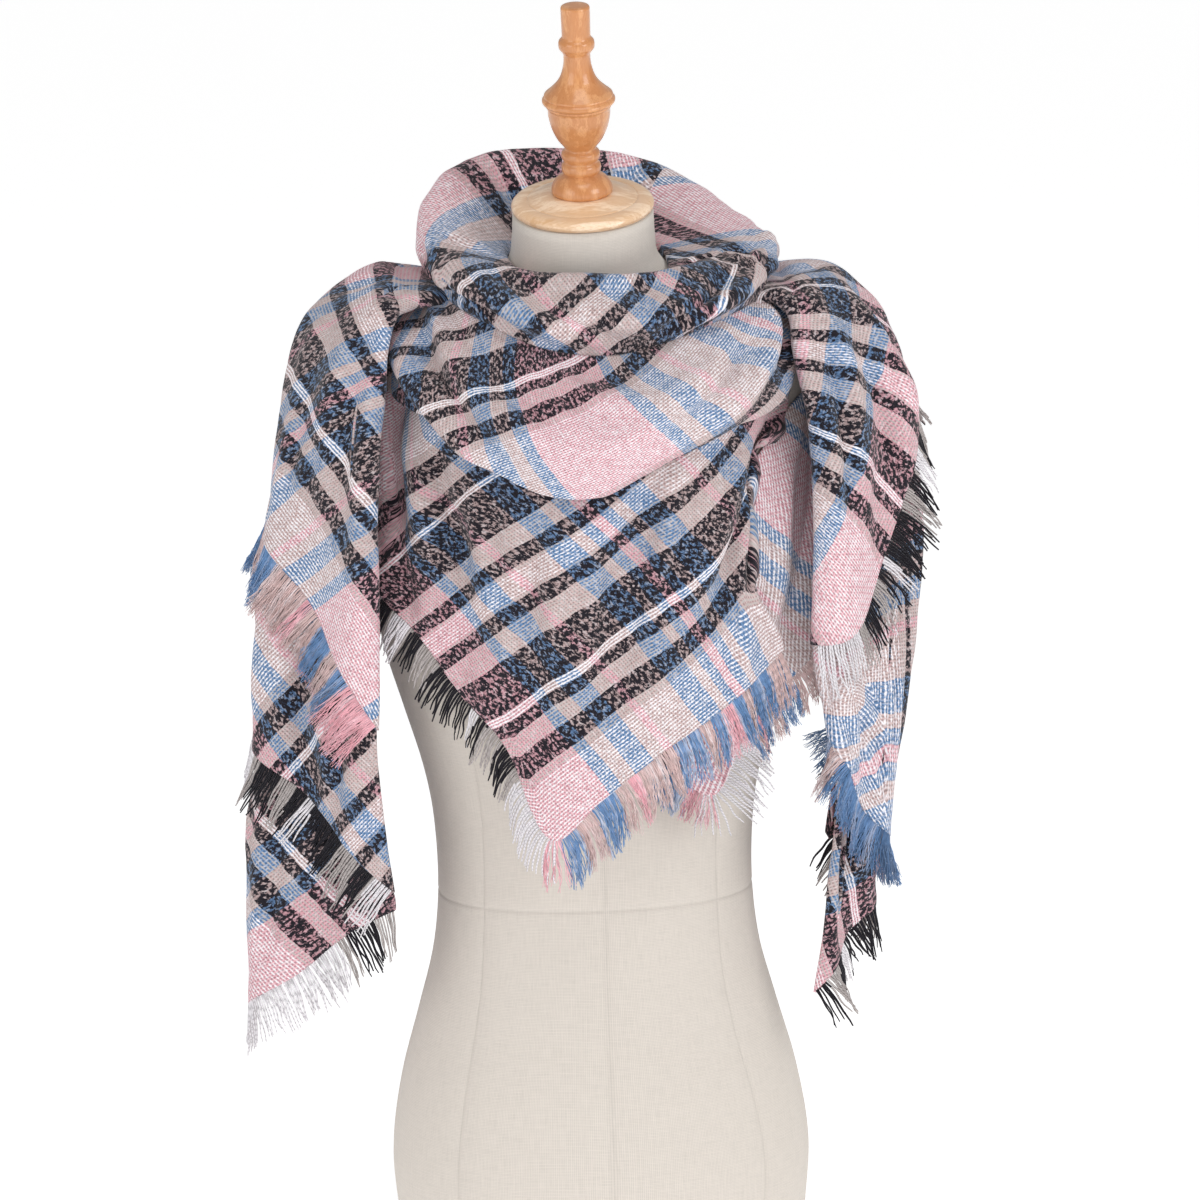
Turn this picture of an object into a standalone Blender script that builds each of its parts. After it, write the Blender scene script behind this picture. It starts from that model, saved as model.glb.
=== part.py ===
"""Blanket scarf with fringed edges, wound as a kerchief on a limbless dress form.

Metres, +Z up. The form stands on the origin and faces -Y. The scarf's deep corner hangs in
front, and its two ends pass behind the nape and fall over the shoulders in tiers.
"""

import bisect
import math

import bmesh
import bpy
from mathutils import Quaternion, Vector

MM = 0.001

# ------------------------------------------------------------------ driving sizes
CLOTH_WALL = 2.4 * MM  # brushed acrylic blanket cloth
SEAM_GAP = 0.3 * MM  # between pieces that meet
LAYER = CLOTH_WALL + SEAM_GAP  # from the middle of one cloth to the middle of the next
FORM_LIFT = 2.3 * MM  # from the form's skin to the middle of cloth that lies on it
POUCH_LIFT = FORM_LIFT + LAYER + 0.8 * MM  # the bib's sides lie under the pouch's
UNDER_LIFT = FORM_LIFT + 0.7 * MM
BIB_LIFT = UNDER_LIFT + LAYER + 0.8 * MM  # the second layer lies under the bib's +X side

BASE_BOARD_THICK = 10 * MM
BASE_BOARD_INSET = 3 * MM
NECK_LEAN = 15  # degrees that the neck's top, its cap and its finial lean
LEAN_TURN = math.radians(8)  # how far that lean turns from straight ahead towards -X
LEAN_AXIS = Vector((math.cos(LEAN_TURN), -math.sin(LEAN_TURN), 0))
NECK_TOP = Vector((0.0, -0.030, 0.828))
FORM_SQUARENESS = 2.25  # 2 is an ellipse
FORM_STEPS = 32

# The form's sections, in millimetres: depths are measured from the section's centre.
FORM_COLUMNS = "height half_width front back centre lean"
FORM_ROWS = [
    (10.3, 150, 108, 119, 0, 0),
    (60, 156, 113, 126, 0, 0),
    (110, 159, 115, 130, 0, 0),
    (165, 151, 109, 121, 0, 0),
    (220, 136, 98, 104, 0, 0),
    (266, 124, 91, 91, 0, 0),
    (315, 119, 88, 84, 0, 0),
    (370, 121, 92, 85, 0, 0),
    (410, 128, 99, 88, 0, 0),
    (455, 141, 111, 93, 0, 0),
    (500, 154, 122, 97, 0, 0),
    (550, 163, 127, 100, 0, 0),
    (600, 169, 119, 101, 0, 0),
    (645, 174, 105, 99, 0, 0),
    (685, 178, 90, 94, 0, 0),
    (715, 175, 78, 87, 0, 0),
    (738, 152, 68, 79, -2, 0),
    (756, 112, 60, 70, -8, 4),
    (772, 76, 53, 60, -16, 8),
    (790, 56, 50, 52, -25, 12),
    (808, 52.5, 50.5, 51, -29, 14),
    (828, 51.5, 50.5, 50.5, -30, 15),
]

# The collar's ring: a funnel from its foot at the neck up to the rim, over, and down outside
# to the edge that tucks under. Angles in degrees from the front round to the wearer's right
# (-X); radii and heights in millimetres.
COLLAR_CENTRE = Vector((0.010, -0.015, 0.0))
COLLAR_COLUMNS = "angle foot_r foot_z rim_r rim_z bulge_r bulge_z tuck_r tuck_z"
COLLAR_ROWS = [
    (0, 72, 772, 81, 786, 121, 760, 109, 734),
    (25, 71, 776, 91, 788, 128, 763, 118, 741),
    (48, 70, 784, 104, 794, 138, 778, 129, 762),
    (70, 69, 792, 119, 804, 136, 792, 124, 775),
    (92, 68, 797, 121, 824, 131, 806, 118, 780),
    (115, 67, 801, 113, 846, 130, 822, 117, 779),
    (126, 66, 803, 110, 853, 131, 824, 120, 783),
    (137, 65, 804, 108, 859, 132, 823, 124, 774),
    (160, 61, 805, 108, 861, 133, 818, 122, 762),
    (180, 58, 805, 108, 859, 132, 812, 120, 758),
    (205, 55, 804, 109, 851, 132, 804, 120, 758),
    (229, 52, 802, 107, 833, 131, 799, 126, 768),
    (240, 51, 800, 109, 822, 130, 797, 121, 776),
    (252, 51, 797, 112, 811, 130, 793, 118, 770),
    (272, 52, 791, 120, 797, 132, 786, 121, 768),
    (290, 56, 786, 117, 791, 134, 780, 124, 764),
    (312, 63, 780, 98, 790, 131, 772, 120, 756),
    (337, 70, 773, 85, 787, 124, 763, 112, 742),
]
COLLAR_STATIONS = (0.0, 0.34, 0.72, 1.0)  # foot, rim, bulge, tuck

# The pouch below it: a deep swag that starts at the collar's tucked edge.
POUCH_COLUMNS = "angle belly_r belly_z lip_r lip_z under_r under_z"
POUCH_ROWS = [
    (-92, 133, 755, 138, 738, 131, 730),
    (-75, 141, 745, 144, 715, 134, 707),
    (-60, 146, 735, 149, 696, 138, 690),
    (-45, 150, 722, 150, 685, 138, 684),
    (-25, 154, 708, 149, 673, 137, 675),
    (-8, 155, 690, 149, 653, 136, 657),
    (5, 156, 677, 151, 638, 137, 643),
    (20, 160, 681, 156, 641, 142, 647),
    (35, 164, 697, 161, 661, 148, 665),
    (50, 165, 715, 163, 684, 151, 687),
    (65, 163, 735, 165, 699, 155, 700),
    (80, 158, 757, 162, 720, 154, 716),
]
POUCH_STATIONS = (0.0, 0.5, 0.82, 1.0)  # start, belly, lip, under

# The bib: columns of cloth from the pouch's under edge down to the fringed hem. Share is the
# way across; the hem's corner is the cloth's own corner.
BIB_COLUMNS = "share angle x y z mid_x mid_y"
BIB_ROWS = [
    (0.00, 76, -174, -64, 575, 0, 0),
    (0.08, 70, -158, -78, 554, 0, 0),
    (0.20, 58, -130, -98, 524, 0, 0),
    (0.32, 44, -104, -112, 486, 0, 0),
    (0.44, 28, -74, -127, 450, 0, 0),
    (0.55, 10, -44, -145, 383, 0, 0),
    (0.66, -6, -6, -147, 410, 0, 0),
    (0.78, -22, 38, -145, 443, 0, 0),
    (0.90, -47, 84, -135, 471, 0, -8),
    (1.00, -72, 132, -114, 505, -26, -36),
]
BIB_DROP = 2.6 * MM  # its top edge lies this far below the pouch's under edge
BIB_INSET = LAYER + 0.8 * MM  # and this far inside it
BIB_WAVES = 3.2
BIB_WAVE_DEPTH = 6 * MM
BIB_TURN = 12 * MM  # how far its +X edge turns back in a fold
BIB_SWINGS = 0.3  # its middle hangs off the straight line by mid_x and mid_y from here on
BIB_RISES = 0.2  # the share of it over which it comes up to lie on the second layer
UNDER_WAVES = 2
UNDER_WAVE_DEPTH = 3 * MM

# The under panel: the folded cloth's second layer, which shows at the bib's left side (+X).
UNDER_COLUMNS = "share top_x top_y top_z x y z"
UNDER_ROWS = [
    (0.0, 60, -102, 600, 30, -108, 430),
    (0.3, 95, -90, 630, 58, -106, 411),
    (0.55, 122, -70, 662, 84, -104, 403),
    (0.8, 142, -56, 683, 112, -96, 455),
    (1.0, 162, -34, 704, 148, -84, 486),
]

# The ends over the shoulders. Each section runs from an inner fold in front, round the outside
# and to an edge at the back; the rows go from the neck down to the hem.
TAIL_COLUMNS = "front_x front_y front_z out_x out_y out_z back_x back_y back_z dip"
RIGHT_END_ROWS = [  # on -X
    (-129, -82, 772, -136, 0, 783, 12, 78, 752, 1),
    (-142, -90, 765, -150, 0, 788, 14, 80, 735, 1),
    (-152, -97, 738, -174, 0, 777, 10, 86, 712, 1),
    (-155, -102, 704, -203, 0, 751, -8, 93, 685, 1),
    (-160, -106, 668, -216, 0, 714, -50, 97, 656, 1),
    (-162, -107, 625, -224, 0, 676, -100, 88, 628, 1),
    (-163, -106, 578, -230, 0, 646, -145, 66, 598, 1),
    (-164, -103, 520, -235, -3, 620, -176, 68, 576, 1),
    (-166, -100, 463, -240, -6, 598, -190, 76, 560, 1),
]
LEFT_END_ROWS = [  # on +X
    (136, -72, 768, 148, 0, 771, -14, 85.6, 748, 1),
    (147, -78, 757, 160, 0, 779, -17, 87.6, 731, 1),
    (151, -86, 735, 188, 0, 776, -12, 93.6, 708, 1),
    (156, -95, 708, 214, 0, 750, 8, 102, 682, 1.1),
    (160, -100, 676, 229, 0, 726, 55, 99, 655, 1.3),
    (162, -102, 638, 237, 0, 712, 104, 88, 633, 1.6),
    (162, -102, 595, 241, 0, 703, 146, 66, 612, 2),
    (161, -101, 552, 243, -2, 697, 172, 64, 596, 2.5),
    (159, -100, 510, 244, -4, 692, 188, 70, 584, 3),
]

# The tiers that hang inside the ends: the section at each one's hem, in the same columns.
RIGHT_MIDDLE_HEM = (-158, -88, 336, -255, -8, 440, -196, 66, 430, 1)
RIGHT_LOWER_HEM = (-157, -80, 318, -266, -20, 236, -204, 54, 312, 1.3)
LEFT_MIDDLE_HEM = (168, -86, 436, 217, -14, 343, 196, 64, 420, 1)
LEFT_LOWER_HEM = (158, -70, 240, 207, -22, 302, 186, 50, 330, 1)
TIER_COLUMNS = "keeps leaves_at together"  # of its parent's way round and down, and of its own
MIDDLE_TIER = (18 / 20, 10 / 12, 2 / 6)
LOWER_TIER = (16 / 18, 4 / 6, 2 / 5)
ARM_AXIS = 0.150  # from the middle to the upright line that an end hangs round

PLEATS = 3.0  # soft waves round an end, from its inner fold to its back edge
PLEAT_DEPTH = 5 * MM
TIER_FLOW = 0.3  # how far a tier keeps its parent's direction below the parent's hem
TIER_GAP = LAYER + 0.5 * MM  # from a tier's middle to its parent's, where they lie together

# Fringe: the strip that its strands grow from, and the strands.
STRIP_GAP = 0.75 * MM  # from the cloth's edge
STRIP_WIDE = 3.0 * MM
STRIP_THICK = 1.4 * MM
STRAND_THICK = 1.8 * MM
STRAND_TIP = 1.1 * MM
STRAND_WAIST = 0.15  # share of a strand's length where it has reached that thickness
STRIP_INSET = 0.01  # of a column, so that two strips don't touch where a hem turns

# Each cloth's grid. A tier's columns are its share of its parent's.
CLOTH_COLUMNS = "across down"
CLOTHS = {
    "cowl_collar": (40, 9),
    "pouch_fold": (26, 9),
    "bib_panel": (20, 11),
    "under_panel": (10, 8),
    "right_end_upper": (20, 12),
    "right_end_middle": (18, 6),
    "right_end_lower": (16, 5),
    "left_end_upper": (20, 12),
    "left_end_middle": (18, 6),
    "left_end_lower": (16, 5),
}

# Each hem's fringe: the cloth, its first and last column, the strands for each column, their
# length in millimetres, how far they droop, and how far they lean out to clear the tier below.
FRINGE_COLUMNS = "cloth first last each length droop clear"
FRINGES = {
    "bib_fringe_right": ("bib_panel", 2, 11, 3, 31, 0.15, 0),
    "bib_fringe_left": ("bib_panel", 11, 20, 3, 33, 0.55, 0),
    "under_fringe": ("under_panel", 0, 10, 2, 30, 0.3, 0),
    "right_upper_fringe": ("right_end_upper", 0, 19, 1, 43, 0.2, 0.2),
    "right_middle_fringe": ("right_end_middle", 0, 17, 1, 42, 0.2, 0.25),
    "right_lower_fringe": ("right_end_lower", 0, 15, 1, 38, 0.3, 0),
    "left_upper_fringe": ("left_end_upper", 0, 19, 1, 40, 0.5, 0.3),
    "left_middle_fringe": ("left_end_middle", 0, 17, 1, 38, 0.3, 0.42),
    "left_lower_fringe": ("left_end_lower", 0, 15, 1, 38, 0.3, 0),
}


# ------------------------------------------------------------------ curves through tables
def table(columns, rows):
    """The rows of a short table as one tuple for each named column."""
    return dict(zip(columns.split(), zip(*rows)))


def smooth(knots, values, at):
    """The value at `at` of a smooth curve through the knots."""
    last = len(knots) - 1
    i = min(max(bisect.bisect_right(knots, at) - 1, 0), last - 1)
    slopes = []
    for j in (i, i + 1):
        before, after = max(j - 1, 0), min(j + 1, last)
        slopes.append((values[after] - values[before]) / (knots[after] - knots[before]))
    step = knots[i + 1] - knots[i]
    t = (at - knots[i]) / step
    return (
        values[i] * (1 + 2 * t) * (1 - t) ** 2
        + values[i + 1] * t * t * (3 - 2 * t)
        + step * t * (1 - t) * (slopes[0] * (1 - t) - slopes[1] * t)
    )


def ringed(rows):
    """Rows by angle with one turn more on each side, so that a curve through them closes."""
    behind = [(row[0] - 360, *row[1:]) for row in rows[-3:]]
    ahead = [(row[0] + 360, *row[1:]) for row in rows[:3]]
    return behind + rows + ahead


def ease(low, high, at):
    """0 below low, 1 above high, and smooth between them."""
    t = min(max((at - low) / (high - low), 0.0), 1.0)
    return t * t * (3 - 2 * t)


FORM = table(FORM_COLUMNS, FORM_ROWS)
COLLAR = table(COLLAR_COLUMNS, ringed(COLLAR_ROWS))
POUCH = table(POUCH_COLUMNS, POUCH_ROWS)
BIB = table(BIB_COLUMNS, BIB_ROWS)
UNDER = table(UNDER_COLUMNS, UNDER_ROWS)


# ------------------------------------------------------------------ the dress form
def form_section(height):
    """Half width, front depth, back depth and centre of the form at a height."""
    at = min(max(height / MM, FORM["height"][0]), FORM["height"][-1])
    return [
        smooth(FORM["height"], FORM[name], at) * MM
        for name in ("half_width", "front", "back", "centre")
    ]


def form_point(angle, row):
    """A point of the form's skin on one of its sections, from the front round to -X."""
    height, half_width, front, back, centre, lean = FORM_ROWS[row]
    side, ahead = math.sin(angle), math.cos(angle)
    power = 2 / FORM_SQUARENESS
    x = -math.copysign(abs(side) ** power, side) * half_width
    depth = math.copysign(abs(ahead) ** power, ahead) * (front if ahead > 0 else back)
    point = Vector((x, -depth, 0))
    point.rotate(Quaternion(LEAN_AXIS, math.radians(lean)))
    return (point + Vector((0, centre, height))) * MM


def off_form(point, lift):
    """The point, moved straight out from the form's axis until it clears the skin by lift."""
    half_width, front, back, centre = form_section(point.z)
    x, y = point.x, point.y - centre
    depth = front if y < 0 else back
    power = FORM_SQUARENESS
    share = (abs(x / half_width) ** power + abs(y / depth) ** power) ** (1 / power)
    reach = math.hypot(x, y)
    skin = reach / max(share, 0.01)
    if reach >= skin + lift:
        return point
    grow = (skin + lift) / reach
    return Vector((x * grow, centre + y * grow, point.z))


# ------------------------------------------------------------------ the scarf's surfaces
def round_collar(angle, radius, height):
    """A point round the collar's centre: angle in degrees from the front towards -X."""
    turn = math.radians(angle)
    return COLLAR_CENTRE + Vector(
        (-math.sin(turn) * radius, -math.cos(turn) * radius, height)
    )


def collar_point(u, v):
    """The collar's funnel and roll: u is a turn from the front, v runs from foot to tuck."""
    angle = 360 * (u % 1.0)
    radii, heights = [], []
    for name in ("foot", "rim", "bulge", "tuck"):
        radii.append(smooth(COLLAR["angle"], COLLAR[name + "_r"], angle))
        heights.append(smooth(COLLAR["angle"], COLLAR[name + "_z"], angle))
    radius = smooth(COLLAR_STATIONS, radii, v)
    height = smooth(COLLAR_STATIONS, heights, v)
    slack = 2.2 * math.sin(math.radians(3 * angle + 60)) * math.sin(math.pi * v) ** 2
    return off_form(round_collar(angle, (radius + slack) * MM, height * MM), 1.2 * FORM_LIFT)


def pouch_angle(u):
    return POUCH["angle"][0] + u * (POUCH["angle"][-1] - POUCH["angle"][0])


def pouch_point(u, v):
    """The swag: u runs from +X round the front to -X, v from the collar's tuck to under it."""
    angle = pouch_angle(u)
    start = collar_point(angle / 360, 1.0) - COLLAR_CENTRE
    radii = [start.to_2d().length / MM - 1.0]
    heights = [start.z / MM - 2.4]
    for name in ("belly", "lip", "under"):
        radii.append(smooth(POUCH["angle"], POUCH[name + "_r"], angle))
        heights.append(smooth(POUCH["angle"], POUCH[name + "_z"], angle))
    radius = smooth(POUCH_STATIONS, radii, v)
    height = smooth(POUCH_STATIONS, heights, v)
    folds = 3.5 * math.sin(math.radians(4 * angle) + 5 * v) * math.sin(math.pi * v) ** 2
    return off_form(round_collar(angle, (radius + folds) * MM, height * MM), POUCH_LIFT)


def bib_point(u, v):
    """The hanging corner: u runs from -X to +X, v from the pouch down to the hem."""
    angle = smooth(BIB["share"], BIB["angle"], u)
    share = (angle - POUCH["angle"][0]) / (POUCH["angle"][-1] - POUCH["angle"][0])
    top = pouch_point(share, 1.0) - Vector((0, 0, BIB_DROP))
    away = (top - COLLAR_CENTRE).to_2d().normalized()
    top -= away.to_3d() * BIB_INSET
    hem = Vector([smooth(BIB["share"], BIB[axis], u) * MM for axis in "xyz"])
    point = top.lerp(hem, v)
    waves = math.sin(2 * math.pi * BIB_WAVES * u + 2.2 * v + 0.6)
    fade = math.sin(math.pi * min(v + 0.12, 1.0)) * ease(0, 0.1, v)
    point.y += BIB_WAVE_DEPTH * waves * fade
    swing = ease(0, BIB_SWINGS, v) * (1 - ease(1 - BIB_SWINGS, 1, v))
    point.x += smooth(BIB["share"], BIB["mid_x"], u) * MM * swing
    point.y += smooth(BIB["share"], BIB["mid_y"], u) * MM * swing
    point.y += BIB_TURN * ease(0.93, 1.0, u) * ease(0.0, 0.15, v)
    return off_form(point, FORM_LIFT + (BIB_LIFT - FORM_LIFT) * ease(0, BIB_RISES, v))


def under_point(u, v):
    """The second layer: u runs to +X, v from its hidden top down to the hem."""
    top = Vector([smooth(UNDER["share"], UNDER["top_" + axis], u) * MM for axis in "xyz"])
    hem = Vector([smooth(UNDER["share"], UNDER[axis], u) * MM for axis in "xyz"])
    point = top.lerp(hem, v)
    waves = math.sin(2 * math.pi * UNDER_WAVES * u + 1)
    point.y += UNDER_WAVE_DEPTH * waves * math.sin(math.pi * v)
    return off_form(point, UNDER_LIFT)


def section_arc(row, s):
    """The point at s of a section: a quarter ellipse to the outside and another to the back.

    The last column is how late its height rises from an edge to the outside: 1 on an ellipse.
    """
    front, out, back = (Vector(row[i : i + 3]) * MM for i in (0, 3, 6))
    edge, turn = (front, math.pi * s) if s < 0.5 else (back, math.pi * (1 - s))
    centre = Vector((edge.x, out.y, edge.z))
    point = centre + (edge - centre) * math.cos(turn) + (out - centre) * math.sin(turn)
    if s < 0.5:
        point.z = edge.z + (out.z - edge.z) * math.sin(turn) ** row[9]
    return point


def pleat(point, s, depth):
    """Moves a point of an end in or out from the end's own axis, in soft waves."""
    axis = Vector((math.copysign(ARM_AXIS, point.x), 0, point.z))
    away = (point - axis).normalized()
    wave = math.sin(2 * math.pi * PLEATS * s + 0.8) + 0.4 * math.sin(23 * s)
    return point + away * depth * wave


def end_point(rows, s, v):
    """The top tier of an end: s goes round it and v down it, both 0 to 1."""
    columns = list(zip(*rows))
    knots = range(len(rows))
    row = [smooth(knots, column, v * (len(rows) - 1)) for column in columns]
    point = section_arc(row, s)
    point = pleat(point, s, PLEAT_DEPTH * ease(0.3, 0.8, v) * (1 - ease(0.8, 1.0, s)))
    return off_form(point, end_lift(rows, point))


def end_lift(rows, point):
    """How far an end's cloth stays off the form: behind the nape, +X's end lies on -X's."""
    if rows is not LEFT_END_ROWS or point.y < 0:
        return FORM_LIFT
    return FORM_LIFT + (LAYER + 0.3 * MM) * (1 - ease(0.025, 0.045, point.x))


def moved_in(surface, s, v, distance):
    """The surface's point moved by a distance along its normal, towards the form's inside."""
    step = 0.01
    around = surface(min(s + step, 1), v) - surface(max(s - step, 0), v)
    down = surface(s, min(v + step, 1)) - surface(s, max(v - step, 0))
    normal = around.cross(down).normalized()
    point = surface(s, v)
    inside = Vector((math.copysign(ARM_AXIS, point.x), 0, point.z)) - point
    return point + normal * math.copysign(distance, normal.dot(inside))


def hung_tier(parent, tier, hem):
    """A tier that lies inside its parent's lower part, and hangs on from there to its own hem.

    It keeps to a share of its parent's way round and starts at leaves_at down it. Together is
    the share of the tier that lies on its parent.
    """
    kept, leaves_at, together = tier

    def surface(s, v):
        if v <= together:
            along = leaves_at + (1 - leaves_at) * v / together
            return moved_in(parent, kept * s, along, TIER_GAP)
        start = moved_in(parent, kept * s, 1.0, TIER_GAP)
        end = pleat(section_arc(hem, s), s, PLEAT_DEPTH)
        heading = (parent(kept * s, 1.0) - parent(kept * s, 0.96)).normalized()
        middle = start + heading * TIER_FLOW * (end - start).length
        t = (v - together) / (1 - together)
        return start * (1 - t) ** 2 + middle * 2 * t * (1 - t) + end * t * t

    return surface


def right_upper(s, v):
    return end_point(RIGHT_END_ROWS, s, v)


def left_upper(s, v):
    return end_point(LEFT_END_ROWS, s, v)


right_middle = hung_tier(right_upper, MIDDLE_TIER, RIGHT_MIDDLE_HEM)
right_lower = hung_tier(right_middle, LOWER_TIER, RIGHT_LOWER_HEM)
left_middle = hung_tier(left_upper, MIDDLE_TIER, LEFT_MIDDLE_HEM)
left_lower = hung_tier(left_middle, LOWER_TIER, LEFT_LOWER_HEM)

SURFACES = {
    "cowl_collar": collar_point,
    "pouch_fold": pouch_point,
    "bib_panel": bib_point,
    "under_panel": under_point,
    "right_end_upper": right_upper,
    "right_end_middle": right_middle,
    "right_end_lower": right_lower,
    "left_end_upper": left_upper,
    "left_end_middle": left_middle,
    "left_end_lower": left_lower,
}


# ------------------------------------------------------------------ making objects
def material(name, colour, roughness):
    made = bpy.data.materials.new(name)
    made.use_nodes = True
    shader = made.node_tree.nodes["Principled BSDF"]
    shader.inputs["Base Color"].default_value = (*colour, 1)
    shader.inputs["Roughness"].default_value = roughness
    shader.inputs["Metallic"].default_value = 0.0
    made.diffuse_color = (*colour, 1)
    return made


def add_object(name, mesh, finish):
    obj = bpy.data.objects.new(name, mesh)
    obj.data.materials.append(finish)
    bpy.data.collections["blanket_scarf"].objects.link(obj)
    return obj


def cloth_piece(name, finish):
    """A wall of cloth whose middle is its surface, with its thickness from a Solidify."""
    across, down = CLOTHS[name]
    surface = SURFACES[name]
    grid = bmesh.new()
    bmesh.ops.create_grid(grid, x_segments=across, y_segments=down, size=0.5)
    for vert in grid.verts:
        vert.co = surface(vert.co.x + 0.5, vert.co.y + 0.5)
    if name == "cowl_collar":  # it goes once round, so its ends meet
        bmesh.ops.remove_doubles(grid, verts=grid.verts, dist=0.01 * MM)
    bmesh.ops.recalc_face_normals(grid, faces=grid.faces)
    mesh = bpy.data.meshes.new(name)
    grid.to_mesh(mesh)
    grid.free()
    obj = add_object(name, mesh, finish)
    wall = obj.modifiers.new("wall", "SOLIDIFY")
    wall.thickness = CLOTH_WALL
    wall.offset = 0.0
    wall.use_even_offset = False
    return obj


def hem_frame(surface, across, share):
    """A point on the hem's facets, the way out of the cloth there, and the way along the hem."""
    at = round(share * across, 3)
    before, after = max(math.ceil(at) - 1, 0), min(math.floor(at) + 1, across)
    low, high = (surface(i / across, 1.0) for i in (math.floor(at), math.ceil(at)))
    point = low.lerp(high, at - math.floor(at))
    run = (surface(after / across, 1.0) - surface(before / across, 1.0)).normalized()
    out = surface(share, 1.0) - surface(share, 0.96)
    return point, (out - run * out.dot(run)).normalized(), run


def fringe_piece(name, finish):
    """Strands on a narrow strip along a cloth's hem, from its first column to its last.

    A strand starts straight out of the hem, then goes its own way.
    """
    row = dict(zip(FRINGE_COLUMNS.split(), FRINGES[name]))
    surface = SURFACES[row["cloth"]]
    across = CLOTHS[row["cloth"]][0]
    first, last, each, droop = (row[key] for key in ("first", "last", "each", "droop"))
    strands = (last - first) * each
    rings = []
    for i in range(strands + 1):
        column = min(max(first + i / each, first + STRIP_INSET), last - STRIP_INSET)
        point, out, run = hem_frame(surface, across, column / across)
        thick = run.cross(out).normalized() * STRIP_THICK / 2
        near = point + out * STRIP_GAP
        far = near + out * STRIP_WIDE
        rings.append((near - thick, near + thick, far + thick, far - thick, out, run))
    body = bmesh.new()
    loops = [[body.verts.new(corner) for corner in ring[:4]] for ring in rings]
    roots = []
    for here, there in zip(loops, loops[1:]):
        for k in range(4):
            n = (k + 1) % 4
            face = body.faces.new((here[k], here[n], there[n], there[k]))
            if k == 2:
                roots.append(face)
    body.faces.new(reversed(loops[0]))
    body.faces.new(loops[-1])
    for i, root in enumerate(roots):
        out = (rings[i][4] + rings[i + 1][4]).normalized()
        sway = rings[i][5] * 0.12 * math.sin(3.7 * i)
        way = out * (1 - droop) + Vector((0, 0, -1)) * droop + sway
        way = (way + outward(rings[i][0]) * row["clear"]).normalized()
        reach = row["length"] * MM * (0.86 + 0.14 * math.sin(5.3 * i + 1.1))
        grow_strand(body, root, ((out + way).normalized(), way), reach)
    bmesh.ops.recalc_face_normals(body, faces=body.faces)
    mesh = bpy.data.meshes.new(name)
    body.to_mesh(mesh)
    body.free()
    return add_object(name, mesh, finish)


def outward(point):
    """The way straight out of the upper arm that an end hangs round, on the point's side."""
    return Vector((point.x - math.copysign(ARM_AXIS, point.x), point.y, 0)).normalized()


def grow_strand(body, root, ways, reach):
    """Extrudes a strand from its root face: a short neck the first way, then the rest."""
    shares = (STRAND_WAIST, 1 - STRAND_WAIST)
    widths = (STRAND_THICK, STRAND_TIP)
    for way, share, width in zip(ways, shares, widths):
        root = bmesh.ops.extrude_discrete_faces(body, faces=[root])["faces"][0]
        middle = root.calc_center_median()
        for vert in root.verts:
            corner = (vert.co - middle).normalized() * width * 0.7
            vert.co = middle + corner + way * reach * share


# ------------------------------------------------------------------ the pieces
def build_form(linen, board):
    """The stuffed linen form, a loft of its sections, and the board that it stands on."""
    skin = bmesh.new()
    rings = []
    for row in range(len(FORM_ROWS)):
        angles = [2 * math.pi * i / FORM_STEPS for i in range(FORM_STEPS)]
        rings.append([skin.verts.new(form_point(angle, row)) for angle in angles])
    for low, high in zip(rings, rings[1:]):
        for i in range(FORM_STEPS):
            n = (i + 1) % FORM_STEPS
            skin.faces.new((low[i], low[n], high[n], high[i]))
    skin.faces.new(rings[0])
    skin.faces.new(rings[-1])
    bmesh.ops.recalc_face_normals(skin, faces=skin.faces)
    mesh = bpy.data.meshes.new("torso")
    skin.to_mesh(mesh)
    skin.free()
    mesh.shade_smooth()
    mesh.set_sharp_from_angle(angle=math.radians(40))
    add_object("torso", mesh, linen)

    plate = bmesh.new()
    outline = []
    for i in range(FORM_STEPS):
        point = form_point(2 * math.pi * i / FORM_STEPS, 0)
        point -= point.to_2d().normalized().to_3d() * BASE_BOARD_INSET
        outline.append(plate.verts.new((point.x, point.y, 0)))
    plate.faces.new(outline)
    raised = bmesh.ops.extrude_face_region(plate, geom=plate.faces[:])
    top = [item for item in raised["geom"] if isinstance(item, bmesh.types.BMVert)]
    bmesh.ops.translate(plate, verts=top, vec=(0, 0, BASE_BOARD_THICK))
    bmesh.ops.recalc_face_normals(plate, faces=plate.faces)
    mesh = bpy.data.meshes.new("base_board")
    plate.to_mesh(mesh)
    plate.free()
    add_object("base_board", mesh, board)


def turned_piece(name, profile, steps, lift, finish):
    """A turned piece on the neck's leaning axis: the profile is (radius, height) in mm,
    top to bottom, and lift is how far its height 0 stands off the neck's top."""
    lean = Quaternion(LEAN_AXIS, math.radians(NECK_LEAN))
    mesh = bpy.data.meshes.new(name)
    points = [(radius * MM, 0, height * MM) for radius, height in profile]
    mesh.from_pydata(points, [(i, i + 1) for i in range(len(points) - 1)], [])
    obj = add_object(name, mesh, finish)
    obj.location = NECK_TOP + lean @ Vector((0, 0, lift))
    obj.rotation_mode = "QUATERNION"
    obj.rotation_quaternion = lean
    screw = obj.modifiers.new("turned", "SCREW")
    screw.steps = screw.render_steps = steps
    screw.use_merge_vertices = True
    screw.merge_threshold = 0.0001
    screw.use_smooth_shade = True
    return obj


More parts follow.
